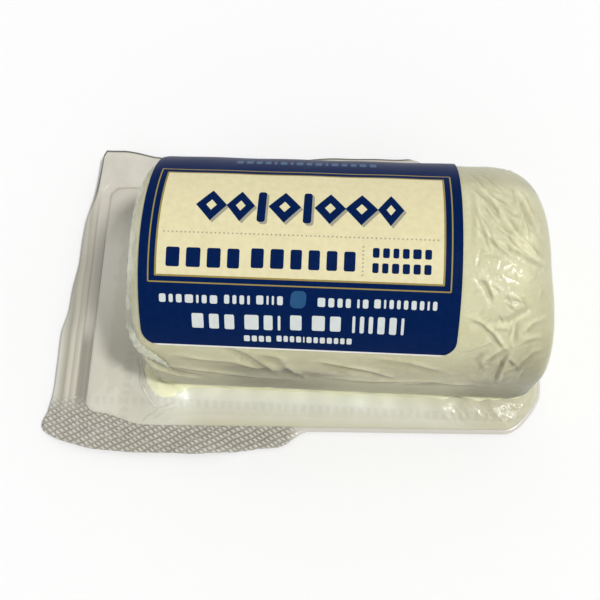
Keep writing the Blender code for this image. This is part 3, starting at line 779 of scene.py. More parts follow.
# Duller and yellower along the strip's front edge and towards the right; towards the right it is partly
# painted shade under the log's end
low_edge = nodes.spread(at_y, AXIS_Y - 0.0222, AXIS_Y - 0.0272)
low_edge = nodes.math("MULTIPLY", low_edge, nodes.spread(at_x, LABEL_X - 0.0320, LABEL_X - 0.0200))
duller = nodes.math("MAXIMUM", low_edge, nodes.spread(at_x, LABEL_X + 0.0160, LABEL_X + 0.0380))
colour = nodes.mixed(duller, colour, (0.570, 0.552, 0.405))


def row_of_marks(along, across, low, high):
    """A faint row of soft blocks, along one coordinate and between two values of the other."""
    inside = nodes.math("COMPARE", across, (low + high) / 2.0, (high - low) / 2.0)
    step = nodes.math("PINGPONG", nodes.math("MULTIPLY_ADD", cloud, 0.0016, along), MARK_PITCH)
    return nodes.math("MULTIPLY", inside, nodes.spread(step, MARK_PITCH * 0.25, MARK_PITCH * 0.6))


strip_marks = row_of_marks(at_x, at_y, *STRIP_MARKS)
side_marks = row_of_marks(at_y, at_x, *SIDE_MARKS)
marked = nodes.math("MULTIPLY", nodes.math("MAXIMUM", strip_marks, side_marks), 0.10)
nodes.surface({
    "Base Color": nodes.mixed(marked, colour, (0.250, 0.250, 0.240)),
    "Roughness": nodes.spread(cloud, least=0.28, most=0.50),
    "Normal": nodes.bump(cloud, 0.35, 0.00025),
})
finish_piece(backing, "sealed_pack")


# The formed film
# The clear upper film, drawn tight over the log by the vacuum, and from the log's foot over
# the shelf to the seal line. It shows as gloss and as fine folds, most of all over the bare
# right end and the underside.

FILM_THICKNESS, FILM_SHARPNESS = 0.00008, 1.35
FILM_LOG_ROWS, FILM_TENT_ROWS, INNER_EVERY = 126, 18, 6
film_outer = np.concatenate([
    spread_evenly(log_line, FILM_LOG_ROWS), spread_evenly(wrinkled_tent, FILM_TENT_ROWS)[:, 1:],
], axis=1)
facing = grid_normals(film_outer)
over_log = slice(0, FILM_LOG_ROWS + 1)
raised = film_relief(film_outer[:, over_log], facing[:, over_log], 1.0, FILM_SHARPNESS)
film_outer[:, over_log] += facing[:, over_log] * raised[..., None]
film_inner = (film_outer - facing * FILM_THICKNESS)[:, ::INNER_EVERY]
outer_rows, inner_rows = film_outer.shape[1], film_inner.shape[1]
columns_made = len(film_outer)
inner_first = columns_made * outer_rows
faces = ring_faces(columns_made, outer_rows)
faces += ring_faces(columns_made, inner_rows, inner_first, turned=True)
faces += ring_edge(columns_made, (outer_rows - 1, outer_rows), (inner_first + inner_rows - 1, inner_rows))
film = mesh_piece(
    "forming_film", np.concatenate([film_outer.reshape(-1, 3), film_inner.reshape(-1, 3)]), faces,
    normals_out=False,
)

nodes = new_look("clear_film", film)
coords = nodes.place()
crinkle = nodes.add("ShaderNodeTexVoronoi", {"Vector": coords, "Scale": 520.0}, feature="DISTANCE_TO_EDGE")
creasing = nodes.bump(
    nodes.math("ADD", cloud_of(nodes, coords, 170.0), crinkle.outputs["Distance"]), 0.35, 0.0004)
nodes.surface({"Base Color": (1.0, 1.0, 1.0, 1.0), "Metallic": 1.0, "Roughness": 0.21, "Normal": creasing})
gloss = nodes.tree.nodes["Principled BSDF"].outputs["BSDF"]
clear = nodes.add("ShaderNodeBsdfTransparent", {"Color": (0.975, 0.975, 0.965, 1.0)}).outputs["BSDF"]
mirror = nodes.add("ShaderNodeFresnel", {"IOR": 1.45, "Normal": creasing}).outputs["Fac"]
outside = nodes.math("SUBTRACT", 1.0, nodes.add("ShaderNodeNewGeometry").outputs["Backfacing"])
shine = nodes.math("MULTIPLY", nodes.math("MULTIPLY", mirror, outside), 0.44)
skin = nodes.add("ShaderNodeMixShader", {0: shine, 1: clear, 2: gloss}).outputs["Shader"]
nodes.fill(nodes.tree.nodes["Material Output"], {"Surface": skin})
finish_piece(film, "sealed_pack")


# The gathered folds
# Where the formed film comes round the log's left end it has more width than the vacuum
# can press flat. The rest stands up in doubled folds that turn milky: a thick one at the
# front foot, a crinkled one up the end, and thin ones over the web beside the foot.

# Each fold: places (mm along from the label's middle, degrees from the top), and at each of
# them the half width and the height in mm
DOUBLED_FOLDS = [
    [(-31.9, 54, 0.40, 0.30), (-31.5, 58, 0.95, 0.85), (-30.9, 62, 1.25, 1.00), (-29.8, 66, 0.95, 0.85),
     (-28.8, 69, 1.20, 0.80), (-27.4, 72, 0.95, 0.60), (-26.2, 75, 0.90, 0.50), (-25.2, 79, 0.65, 0.30),
     (-24.6, 84, 0.30, 0.12)],
    [(-29.2, -26, 0.30, 0.05), (-29.4, -12, 0.60, 0.14), (-29.1, 2, 0.85, 0.16), (-29.4, 14, 0.60, 0.13),
     (-29.2, 25, 0.95, 0.18), (-29.8, 36, 0.70, 0.14), (-30.4, 47, 0.80, 0.18), (-31.4, 56, 0.60, 0.20)],
]
# Thin folds on the web: places in mm from the label's middle and the log's axis, and at each
# of them the half width and the height in mm
WEB_FOLDS = [
    [(-36.0, -14.2, 0.10, 0.02), (-35.1, -17.1, 0.24, 0.10), (-33.9, -20.3, 0.28, 0.14),
     (-32.3, -23.0, 0.26, 0.12), (-30.4, -25.0, 0.12, 0.03)],
    [(-34.9, -15.4, 0.10, 0.02), (-33.8, -17.9, 0.22, 0.12), (-32.9, -20.4, 0.12, 0.03)],
    [(-30.4, -25.4, 0.10, 0.02), (-28.7, -24.9, 0.22, 0.10), (-26.6, -23.9, 0.10, 0.02)],
    [(-33.4, -27.6, 0.08, 0.02), (-32.2, -26.6, 0.20, 0.10), (-30.3, -25.6, 0.10, 0.02)],
    [(-30.8, -26.9, 0.08, 0.02), (-28.6, -25.9, 0.20, 0.09), (-26.4, -24.9, 0.08, 0.02)],
]
DOUBLED_STEPS, DOUBLED_SIDES = 10, 12
CRIMP, CRIMP_SPREAD, LOBED = 0.14, 0.03, 0.07


def along_fold(fold):
    """A fold's four values at even steps between its places."""
    knots = np.array(fold)
    places = np.linspace(0.0, len(knots) - 1.0, (len(knots) - 1) * DOUBLED_STEPS + 1)
    return [np.interp(places, np.arange(len(knots)), knots[:, part]) for part in range(4)]


fold_runs = []
for fold in DOUBLED_FOLDS:
    along, turn, half, high = along_fold(fold)
    line = np.array([place_on_log(*at) for at in zip(along, turn)])
    above = line - np.stack([
        LABEL_X + (along + 6.0) * MM, np.full_like(along, AXIS_Y), np.full_like(along, AXIS_Z),
    ], axis=1)
    fold_runs.append((line, above / np.linalg.norm(above, axis=1, keepdims=True), half, high))
shelf_points = film_outer[:, FILM_LOG_ROWS:].reshape(-1, 3)
for fold in WEB_FOLDS:
    along, over, half, high = along_fold(fold)
    line = np.stack([LABEL_X + along * MM, AXIS_Y + over * MM, np.zeros_like(along)], axis=1)
    off = np.linalg.norm(line[:, None, :2] - shelf_points[None, :, :2], axis=2)
    nearest = np.argsort(off, axis=1)[:, :6]
    line[:, 2] = shelf_points[nearest, 2].mean(axis=1)
    fold_runs.append((line, np.broadcast_to(upright, line.shape), half, high))
points, faces = [], []
for number, (line, above, half, high) in enumerate(fold_runs):
    draw = random.Random(40 + number)
    run_way = np.gradient(line, axis=0)
    beside = np.cross(run_way, above)
    beside /= np.linalg.norm(beside, axis=1, keepdims=True)
    first = len(points)
    for step in range(len(line)):
        crimp = 1.0 + CRIMP * math.sin(step * 0.8 + number) + draw.uniform(-CRIMP_SPREAD, CRIMP_SPREAD)
        for side in range(DOUBLED_SIDES):
            round_it = math.tau * side / DOUBLED_SIDES
            out, lift = math.cos(round_it), math.sin(round_it)
            lift = lift * high[step] * crimp + LOBED * half[step] * math.sin(round_it * 3.0 + step * 0.35)
            points.append(line[step] + (beside[step] * out * half[step] * crimp + above[step] * lift) * MM)
    for step in range(len(line) - 1):
        for side in range(DOUBLED_SIDES):
            here, beyond = first + step * DOUBLED_SIDES, first + (step + 1) * DOUBLED_SIDES
            after = (side + 1) % DOUBLED_SIDES
            faces.append((here + side, here + after, beyond + after, beyond + side))
    faces.append(tuple(first + side for side in reversed(range(DOUBLED_SIDES))))
    last = first + (len(line) - 1) * DOUBLED_SIDES
    faces.append(tuple(last + side for side in range(DOUBLED_SIDES)))
doubled = mesh_piece("doubled_film_folds", points, faces)

nodes = new_look("milky_doubled_film", doubled)
coords = nodes.place()
cloud = cloud_of(nodes, coords, 160.0)
thicker = nodes.spread(nodes.axes(coords)["Y"], AXIS_Y - 0.0160, AXIS_Y - 0.0185, 0.18, 0.60)
nodes.surface({
    "Base Color": nodes.ramp(cloud, (0.32, (0.600, 0.610, 0.470)), (0.50, (0.740, 0.745, 0.620)),
                             (0.68, (0.880, 0.885, 0.790))),
    "Alpha": nodes.math("ADD", nodes.spread(cloud, 0.35, 0.60, 0.0, 0.12), thicker),
    "Normal": nodes.bump(cloud, 0.25, 0.0004), "Roughness": 0.22,
})
finish_piece(doubled, "sealed_pack")


# The seal flange
# Both films welded together outside the seal line. Along the left half of the front a hot
# tool leaves small diamonds in them, and bands run down the left end. The right half of the
# front and the right end are folded under the pack.

FLANGE_THICKNESS, FOLD_RADIUS = 0.00032, 0.00055
FLANGE_ROWS, SEAL_LAP = 36, 0.0004
# The weld's tiles are cut by two sets of grooves: each set counts up along x and y, and its
# count sways along another way
GROOVES, TILE_RISE = ((756.0, 922.0), (388.0, -747.0)), 0.00012
SWAY_WAY, GROOVE_SWAY = (640.0, 910.0), 0.07
# The ridges of the left band: how far from the seal line, half width and height; and the
# gutter between them and the seal line
RIDGES = ((0.0027, 0.00055, 0.00026), (0.0046, 0.00050, 0.00022), (0.0071, 0.00060, 0.00018))
GUTTER_DEPTH, EDGE_SWAY = 0.00030, 0.00012
# The flange's slope in degrees: low, more at the back of the left end, and its wave
SLOPE, SLOPE_AT_BACK, SLOPE_WAVE = -5.0, 19.0, 1.6


def fold_share(place):
    """How far the flange is folded under at a place on the seal line, from 0 to 1."""
    from_label = place[:, 0] - LABEL_X
    narrowing = np.clip((from_label + 0.027) / 0.023, 0.0, 1.0)
    front = 0.4 * narrowing + 0.6 * smooth(-0.0055, 0.0020, from_label)
    back = smooth(0.020, 0.036, from_label)
    return front + (back - front) * smooth(-0.010, 0.010, place[:, 1] - AXIS_Y)


def flange_slope(place):
    """How steeply the flange rises away from the seal line."""
    left = 1.0 - smooth(-0.0462, -0.0380, place[:, 0] - LABEL_X)
    lift = left * smooth(0.0080, 0.0280, place[:, 1] - AXIS_Y)
    wave = SLOPE_WAVE * np.sin(place[:, 0] * 260.0 + place[:, 1] * 420.0)
    return np.radians(SLOPE + SLOPE_AT_BACK * lift + wave)


flange_columns = seal_columns(0.00024, 0.00024, 0.00034)
place, outward = flange_columns["place"], flange_columns["outward"]
width, folded = flange_columns["width"], fold_share(flange_columns["place"])
run = np.concatenate([[0.0], np.linspace(0.0, 1.0, FLANGE_ROWS)])[None, :] * width[:, None]
run[:, 0] = -SEAL_LAP
flat_run = (width * (1.0 - folded))[:, None]
turned = np.clip((run - flat_run) / FOLD_RADIUS, 0.0, math.pi)
past_fold = np.maximum(0.0, run - flat_run - math.pi * FOLD_RADIUS)
out = np.minimum(run, flat_run) + FOLD_RADIUS * np.sin(turned) - past_fold
up = FOLD_RADIUS * (np.cos(turned) - 1.0)
slope = flange_slope(place)[:, None] * (1.0 - folded)[:, None]
tilted_out = out * np.cos(slope) - up * np.sin(slope)
tilted_up = out * np.sin(slope) + up * np.cos(slope)
level = np.concatenate([outward, np.zeros((len(place), 1))], axis=1)[:, None, :]
middle = np.concatenate([place, np.full((len(place), 1), SEAL_HEIGHT)], axis=1)[:, None, :]
middle = middle + level * tilted_out[..., None] + upright * tilted_up[..., None]
heading = (slope - turned)[..., None]
facing = upright * np.cos(heading) - level * np.sin(heading)
counts = [middle[..., 0] * way[0] + middle[..., 1] * way[1] for way in GROOVES]
swaying = GROOVE_SWAY * np.sin(middle[..., 0] * SWAY_WAY[0] + middle[..., 1] * SWAY_WAY[1])
counts = [count + swaying for count in counts]
to_line = np.minimum(*[np.abs(count - np.round(count)) for count in counts])
front_side = smooth(AXIS_Y - 0.0215, AXIS_Y - 0.0272, middle[..., 1])
tooled = front_side * (1.0 - smooth(0.50, 0.90, folded))[:, None]
tiles = TILE_RISE * smooth(0.06, 0.26, to_line) * tooled * smooth(0.0005, 0.0010, run)
at_left = smooth(0.35, 0.80, -outward[:, :1])
left_side = at_left * (1.0 - 0.8 * front_side)
bands = sum(rise * np.exp(-((run - at) / wide) ** 2) for at, wide, rise in RIDGES)
bands -= GUTTER_DEPTH * smooth(0.0001, 0.0005, run) * (1.0 - smooth(0.0016, 0.0021, run))
sway = EDGE_SWAY * np.sin(place[:, :1] * 540.0 + place[:, 1:] * 610.0) * smooth(0.0015, 0.0050, run)
bands *= 1.0 - 0.70 * smooth(AXIS_Y - 0.0100, AXIS_Y + 0.0040, middle[..., 1])
lift = tiles + bands * left_side + sway
half = FLANGE_THICKNESS / 2.0
flange_top = middle + facing * (half + lift)[..., None]
flange_low = middle + facing * (lift * 0.6 - half)[..., None]
flange_points = np.concatenate([flange_top, flange_low[:, ::-1]], axis=1)
columns_made, rows_made = flange_points.shape[:2]
faces = ring_faces(columns_made, rows_made)
faces += ring_edge(columns_made, (rows_made - 1, rows_made), (0, rows_made))
out_mark = np.concatenate([run, run[:, ::-1]], axis=1)
edge_mark = np.concatenate([width[:, None] - run, (width[:, None] - run)[:, ::-1]], axis=1)
side_mark = np.broadcast_to(at_left, out_mark.shape)
tool_mark = np.concatenate([tooled, tooled[:, ::-1]], axis=1)
flange = mesh_piece("seal_flange", flange_points.reshape(-1, 3), faces, marks={
    "from_seal": out_mark, "from_edge": edge_mark, "left_side": side_mark, "tooled": tool_mark,
})

nodes = new_look("welded_film", flange)
coords = nodes.place()
cloud = cloud_of(nodes, coords, 220.0)
at_x, at_y, _ = nodes.axes(coords)
phase = nodes.add("ShaderNodeVectorMath", {0: coords, 1: (*SWAY_WAY, 0.0)}, operation="DOT_PRODUCT")
bend = nodes.math("MULTIPLY", nodes.math("SINE", phase.outputs["Value"]), GROOVE_SWAY)


def to_groove(way):
    """How far a point is from the nearest groove of one set, from 0 to 0.5."""
    count = nodes.math("MULTIPLY_ADD", at_x, way[0], bend)
    return nodes.math("PINGPONG", nodes.math("MULTIPLY_ADD", at_y, way[1], count), 0.5)


def times(first, second):
    return nodes.math("MULTIPLY", first, second)


def rising(value, low, high, least=0.0, most=1.0):
    """A smooth rise of a value between two places."""
    return nodes.spread(value, low, high, least, most, "SMOOTHSTEP")


tile = rising(nodes.math("MINIMUM", *[to_groove(way) for way in GROOVES]), 0.04, 0.22)
at_front, from_seal = nodes.mark("tooled"), nodes.mark("from_seal")
at_back = rising(at_y, AXIS_Y + 0.0180, AXIS_Y + 0.0290)
groove = times(at_front, nodes.math("SUBTRACT", 1.0, tile))
# Bands down the left end: painted shade in the gutter by the seal line and between the ridges, painted light
# on the ridges
stripes = nodes.ramp(
    rising(from_seal, 0.0, 0.0080),
    (0.00, (0.38, 0.36, 0.30)), (0.10, (0.32, 0.30, 0.25)), (0.18, (0.36, 0.34, 0.28)),
    (0.25, (0.66, 0.63, 0.53)), (0.38, (0.61, 0.58, 0.48)), (0.43, (0.48, 0.46, 0.38)),
    (0.52, (0.64, 0.61, 0.51)), (0.66, (0.58, 0.55, 0.45)), (0.74, (0.43, 0.41, 0.33)),
    (0.84, (0.50, 0.49, 0.40)), (0.96, (0.66, 0.64, 0.56)),
)
# In the upper part, where the log's shadow falls, the painted gutter shade is taken back to a pale colour
near_seal = times(rising(from_seal, 0.0024, 0.0018), rising(at_y, AXIS_Y - 0.012, AXIS_Y - 0.004))
stripes = nodes.mixed(near_seal, stripes, (0.740, 0.710, 0.630))
# Painted shadow of the log over the upper part of the left flange
in_shade = rising(at_y, AXIS_Y - 0.014, AXIS_Y + 0.002)
stripes = nodes.mixed(times(in_shade, 0.45), stripes, (0.330, 0.312, 0.262))
plain = nodes.ramp(cloud, (0.3, (0.540, 0.515, 0.435)), (0.7, (0.640, 0.612, 0.525)))
# Paler at the back: painted light where the raised back flange catches the light
pale = nodes.ramp(cloud, (0.3, (0.600, 0.570, 0.490)), (0.7, (0.680, 0.650, 0.570)))
on_left = times(nodes.mark("left_side"), rising(at_front, 1.0, 0.0, 0.1, 1.0))
haze_and_painted_shading = nodes.mixed(on_left, nodes.mixed(at_front, (0.660, 0.630, 0.560), plain), stripes)
# Painted shade in the grooves between the tiles
haze_and_painted_shading = nodes.mixed(times(groove, 0.42), nodes.mixed(at_back, haze_and_painted_shading, pale), (0.200, 0.185, 0.150))
# Bright patches on the tiles: partly painted glints, partly tone that varies at random
patchy = rising(nodes.noise(coords, 900.0, 1.0), 0.50, 0.68, 0.0, 0.35)
haze_and_painted_shading = nodes.mixed(times(at_front, patchy), haze_and_painted_shading, (0.800, 0.780, 0.700))
# Painted shade: a dark line along the back flange's outer edge
rim = times(rising(nodes.mark("from_edge"), 0.00060, 0.00020), at_back)
nodes.surface({
    "Base Color": nodes.mixed(times(rim, 0.9), haze_and_painted_shading, (0.050, 0.048, 0.038)),
    "Alpha": nodes.spread(groove, least=0.88, most=0.74),
    "Normal": nodes.bump(nodes.math("MULTIPLY_ADD", cloud, 0.4, times(tile, at_front)), 0.9, 0.00025),
    "Roughness": 0.24, "Specular IOR Level": 0.6,
})
finish_piece(flange, "sealed_pack")


# The paper label
# Coated paper, printed dark blue and glued round the pack over the film. It covers the
# top, comes down the front to just above the foot, and goes on down the back. Its cut
# edges are white.

LABEL_WIDTH, LABEL_FRONT_CORNER = 0.0557, 0.0034
LABEL_FRONT_TURN, LABEL_BACK_TURN = math.radians(63.6), math.radians(-100.0)
LABEL_LIFT, PAPER_THICKNESS, PAPER_SLACK = 0.00010, 0.00014, 0.00004
PRINT_RADIUS = LOG_RADIUS + LABEL_LIFT + PAPER_THICKNESS


def barrel_radius(x):
    """The log's radius at a place along it, which falls off past the barrel's ends."""
    beyond = x - min(BARREL_RIGHT, max(BARREL_LEFT, x))
    depth, power = (LEFT_END_DEPTH, LEFT_END_POWER) if beyond < 0.0 else (RIGHT_END_DEPTH, RIGHT_END_POWER)
    return LOG_RADIUS * (1.0 - (abs(beyond) / depth) ** power) ** (1.0 / power)


def wrapped(across, down, lift):
    """A place on the label: across from its middle, down its front from the top, and the
    height over the film."""
    x = LABEL_X + across
    turn = down / PRINT_RADIUS
    slack = PAPER_SLACK * (1.0 + math.sin(across * 420.0 + down * 150.0) * math.sin(down * 240.0 + 0.6))
    radius = barrel_radius(x) + lift + slack
    return (x, AXIS_Y - radius * math.sin(turn), AXIS_Z + radius * math.cos(turn))


def sheet_faces(first, rows, columns):
    """Faces of a closed sheet: its under and its upper grid of points, from a first point on,
    and the edge that joins them."""
    faces, wide, size = [], columns + 1, rows * (columns + 1)
    for sheet in range(2):
        for row in range(rows - 1):
            for column in range(columns):
                at = first + sheet * size + row * wide + column
                face = (at, at + 1, at + wide + 1, at + wide)
                faces.append(face if sheet == 0 else face[::-1])
    edge = [(0, column) for column in range(wide)]
    edge += [(row, columns) for row in range(1, rows)]
    edge += [(rows - 1, column) for column in range(columns - 1, -1, -1)]
    edge += [(row, 0) for row in range(rows - 2, 0, -1)]
    places = [first + row * wide + column for row, column in edge]
    for here, beyond in zip(places, places[1:] + places[:1]):
        faces.append((beyond, here, size + here, size + beyond))
    return faces


label_front, label_back = LABEL_FRONT_TURN * PRINT_RADIUS, LABEL_BACK_TURN * PRINT_RADIUS
corner_runs = [LABEL_FRONT_CORNER * (1.0 - math.cos(math.radians(angle))) for angle in range(0, 90, 9)]
label_downs = [label_back + reach_in for reach_in in corner_runs]
label_downs += run_between(label_back + LABEL_FRONT_CORNER, label_front - LABEL_FRONT_CORNER, 0.0005)
label_downs += [label_front - reach_in for reach_in in [LABEL_FRONT_CORNER] + corner_runs[::-1]]
label_points = []
LABEL_COLUMNS, WHITE_MARGIN_ROWS = 72, 3
for lift in (LABEL_LIFT, LABEL_LIFT + PAPER_THICKNESS):
    for down in label_downs:
        inset = max(0.0, LABEL_FRONT_CORNER - min(down - label_back, label_front - down))
        half_width = LABEL_WIDTH / 2.0 - LABEL_FRONT_CORNER
        half_width += math.sqrt(max(0.0, LABEL_FRONT_CORNER ** 2 - inset ** 2))
        for column in range(LABEL_COLUMNS + 1):
            across = half_width * (2.0 * column / LABEL_COLUMNS - 1.0)
            label_points.append(wrapped(across, down, lift))
faces = sheet_faces(0, len(label_downs), LABEL_COLUMNS)
label = mesh_piece("paper_label", label_points, faces, merge=False)
first_white = (len(label_downs) - 1) * LABEL_COLUMNS * 2 - LABEL_COLUMNS * WHITE_MARGIN_ROWS
for polygon in list(label.data.polygons)[first_white:]:
    polygon.material_index = 1
label.data.set_sharp_from_angle(angle=math.radians(40.0))


# The fibre of the paper, that shows through every ink
paper_grain = effect_tree(
    "paper_grain", {"Place": "Vector", "Pale": "Color", "Dark": "Color", "Dullness": "Float"},
    {"Ink": "Color", "Roughness": "Float", "Height": "Float"})
nodes = Nodes(paper_grain)
given = nodes.add("NodeGroupInput").outputs
fibre = nodes.noise(given["Place"], 900.0, 4.0, 0.6)
nodes.add("NodeGroupOutput", {
    "Ink": nodes.mixed(nodes.spread(fibre, 0.3, 0.7), given["Dark"], given["Pale"]),
    "Roughness": nodes.math("ADD", nodes.spread(fibre, least=-0.06, most=0.06), given["Dullness"]),
    "Height": fibre,
})


def printed_look(name, colour, roughness=0.34, wear=0.05, specular=0.3):
    """Ink on coated paper: an even colour, a little mottled, with a soft shine."""
    look = bpy.data.materials.new(name)
    look.use_nodes = True
    nodes = Nodes(look.node_tree)
    light = tuple(min(1.0, part * (1.0 + wear) + wear * 0.03) for part in colour)
    dark = tuple(part * (1.0 - wear) for part in colour)
    grain = nodes.add("ShaderNodeGroup", {
        "Place": nodes.place(), "Pale": (*light, 1.0), "Dark": (*dark, 1.0), "Dullness": roughness,
    }, node_tree=paper_grain).outputs
    nodes.surface({
        "Base Color": grain["Ink"], "Roughness": grain["Roughness"],
        "Normal": nodes.bump(grain["Height"], 0.10, 0.00008), "Specular IOR Level": specular,
    })
    return look


navy_ink = printed_look("navy_ink", (0.0003, 0.0115, 0.0700), specular=0.03)
cream_ink = printed_look("cream_ink", (0.725, 0.660, 0.405), roughness=0.42)
gold_ink = printed_look("gold_ink", (0.300, 0.230, 0.060), roughness=0.36)
white_ink = printed_look("white_ink", (0.620, 0.660, 0.640), roughness=0.42)
shadow_ink = printed_look("grey_shadow_ink", (0.330, 0.320, 0.240), roughness=0.42)
pale_blue_ink = printed_look("pale_blue_ink", (0.018, 0.078, 0.190), roughness=0.36, specular=0.1)
label.data.materials.append(navy_ink)
label.data.materials.append(printed_look("cut_paper", (0.800, 0.790, 0.740), roughness=0.70))
finish_piece(label, "front_label")


# The printed fields
# The print on the label: a cream field on the top with a gold edge and a fine gold line
# round it, and rows of plain blocks, bars and lozenges in navy, white and pale blue, with
# grey dotted rules. They are thin layers of ink that follow the paper.

INK, LOZENGE = 0.000016, -1.0
PLATE_UNDER, PLATE_OVER = 0.000004, 0.000012
PLATE_ROW, PLATE_COLUMN, PLATE_CORNER_TURN = 0.0006, 0.0025, 18


def ink_plates(name, plates, layer, look):
    """Thin plates on the label. Each is its middle across and down, its width, height and
    corner radius, and a slant that moves its upper end across. A radius of LOZENGE gives a
    lozenge."""
    points, faces = [], []
    low, high = (LABEL_LIFT + PAPER_THICKNESS + above for above in (PLATE_UNDER, PLATE_OVER + layer * INK))
    for across, down, width, height, radius, slant in plates:
        lozenge = radius == LOZENGE
        radius = max(0.00002, min(radius, width / 2.0 - 1e-6, height / 2.0 - 1e-6))
        bends = [radius * (1.0 - math.cos(math.radians(angle))) for angle in range(0, 91, PLATE_CORNER_TURN)]
        count = max(1, round((height - 2.0 * radius) / PLATE_ROW))
        rows = bends + [radius + (height - 2.0 * radius) * step / count for step in range(1, count)]
        rows += [height - bend for bend in reversed(bends)]
        steps = max(1, round(width / PLATE_COLUMN))
        first = len(points)
        for lift in (low, high):
            for row in rows:
                inset = max(0.0, radius - min(row, height - row))
                half_width = width / 2.0 - radius + math.sqrt(max(0.0, radius ** 2 - inset ** 2))
                if lozenge:
                    half_width = width / 2.0 * (1.0 - abs(2.0 * row / height - 1.0))
                half_width = max(half_width, 1e-6)
                for step in range(steps + 1):
                    place = across + half_width * (2.0 * step / steps - 1.0)
                    place += slant * (0.5 - row / height)
                    points.append(wrapped(place, down - height / 2.0 + row, lift))
        faces += sheet_faces(first, len(rows), steps)
    made = mesh_piece(name, points, faces, merge=False)
    made.data.set_sharp_from_angle(angle=math.radians(40.0))
    made.data.materials.append(look)
    finish_piece(made, "front_label")


def block_row(left, right, top, bottom, widths, gap, radius, slant=0.0):
    """Blocks side by side between two places, with widths in the shares given. All other
    values are in mm."""
    left, right, top, bottom, gap, radius, slant = (
        value * MM for value in (left, right, top, bottom, gap, radius, slant))
    space = (right - left - gap * (len(widths) - 1)) / sum(widths)
    blocks, place = [], left
    for share in widths:
        wide = share * space
        blocks.append((place + wide / 2.0, (top + bottom) / 2.0, wide, bottom - top, radius, slant))
        place += wide + gap
    return blocks


# The cream field: its middle down from the label's top, its width and height
PANEL_DOWN, PANEL_WIDE, PANEL_HIGH, PANEL_EDGE = -0.40 * MM, 49.9 * MM, 21.6 * MM, 0.66 * MM
ink_plates("gold_field_edge", [(0.0, PANEL_DOWN, PANEL_WIDE, PANEL_HIGH, 0.2 * MM, 0.0)], 0, gold_ink)
ink_plates("cream_field", [
    (0.0, PANEL_DOWN, PANEL_WIDE - PANEL_EDGE, PANEL_HIGH - PANEL_EDGE, 0.1 * MM, 0.0),
], 1, cream_ink)
line_wide, line_high, line = 52.1 * MM, 23.6 * MM, 0.24 * MM
ink_plates("gold_fine_line", [
    (0.0, PANEL_DOWN - line_high / 2.0, line_wide, line, 0.05 * MM, 0.0),
    (0.0, PANEL_DOWN + line_high / 2.0, line_wide, line, 0.05 * MM, 0.0),
    (-line_wide / 2.0, PANEL_DOWN, line, line_high, 0.05 * MM, 0.0),
    (line_wide / 2.0, PANEL_DOWN, line, line_high, 0.05 * MM, 0.0),
], 0, gold_ink)

# The main row: lozenges with a pale heart, and bars between them
WIDE_BLOCK, LOZENGE_SHARE, BAR_SHARE, HEART_SHARE, SHADOW_OFF = 3.0 * MM, 1.1, 0.7, 0.34, 0.42 * MM
main_blocks = [
    (across, down, width * LOZENGE_SHARE, height, LOZENGE, slant) if width > WIDE_BLOCK
    else (across, down, width * BAR_SHARE, height, radius, slant)
    for across, down, width, height, radius, slant in block_row(
        -18.3, 17.6, -6.0, 0.3, [24, 22, 10, 25, 10, 24, 25, 20], 0.4, 0.5)
]
ink_plates("main_row_shadow", [
    (across + SHADOW_OFF, down + SHADOW_OFF, *rest) for across, down, *rest in main_blocks
], 2, shadow_ink)
ink_plates("main_row", main_blocks, 3, navy_ink)
ink_plates("main_row_hearts", [
    (across, down, width * HEART_SHARE, height * HEART_SHARE, radius, slant)
    for across, down, width, height, radius, slant in main_blocks if radius == LOZENGE
], 4, cream_ink)


def rows_of(rows):
    """The blocks of several rows, one after the other."""
    return [made for row in rows for made in block_row(*row)]


ink_plates("second_rows", rows_of([
    (-23.0, -10.2, 5.3, 8.7, [9, 9.5, 9, 8], 1.15, 0.35),
    (-8.2, 9.7, 5.1, 8.5, [9, 9.5, 8, 8, 7.5, 8], 1.15, 0.35),
    (12.6, 22.6, 4.3, 6.0, [8, 8, 7, 8, 10, 8], 0.6, 0.3),
    (12.6, 22.6, 6.9, 8.6, [7, 7, 8, 8, 8, 8], 0.6, 0.3),
]), 2, navy_ink)
ink_plates("white_rows", rows_of([
    (-24.1, -13.9, 13.5, 15.0, [8, 5, 7, 10, 3, 6, 9], 0.55, 0.3),
    (-12.7, -8.2, 13.3, 14.9, [8, 6, 7, 4], 0.55, 0.3),
    (-7.1, -2.5, 13.2, 14.8, [10, 3, 3, 8], 0.55, 0.3),
    (3.5, 9.2, 13.2, 14.8, [9, 7, 6, 6], 0.55, 0.3),
    (10.3, 12.2, 13.2, 14.8, [3, 7], 0.55, 0.3),
    (13.2, 23.9, 13.1, 14.7, [9, 3, 6, 5, 6, 7, 6, 3, 6], 0.55, 0.3),
    (-18.5, -11.0, 16.9, 19.8, [6, 5, 5], 1.0, 0.3),
    (-9.2, -2.9, 16.8, 19.7, [8, 5, 1.5], 0.9, 0.3),
    (-1.2, 0.8, 16.6, 19.5, [5], 0.9, 0.3),
    (2.6, 7.6, 16.5, 19.4, [6, 5], 0.9, 0.3),
    (9.6, 18.5, 16.3, 19.6, [2, 3, 3, 5, 5, 2], 0.8, 0.3),
    (-9.4, -4.6, 21.0, 22.3, [7, 6, 6, 6], 0.35, 0.25),
    (-3.6, 9.6, 20.8, 22.1, [7, 6, 6, 7, 2, 7, 6, 7, 7, 6, 6, 7], 0.35, 0.25),
]), 0, white_ink)
ink_plates("faint_top_row", block_row(
    -13.0, 13.0, -17.4, -15.6, [7, 7, 6, 6, 3, 7, 3, 7, 6, 7, 3, 7, 6, 6, 7, 7], 0.6, 0.3,
), 0, pale_blue_ink)
ink_plates("pale_blue_spot", [(0.15 * MM, 13.7 * MM, 2.7 * MM, 3.1 * MM, 0.9 * MM, 0.25 * MM)],
           0, pale_blue_ink)


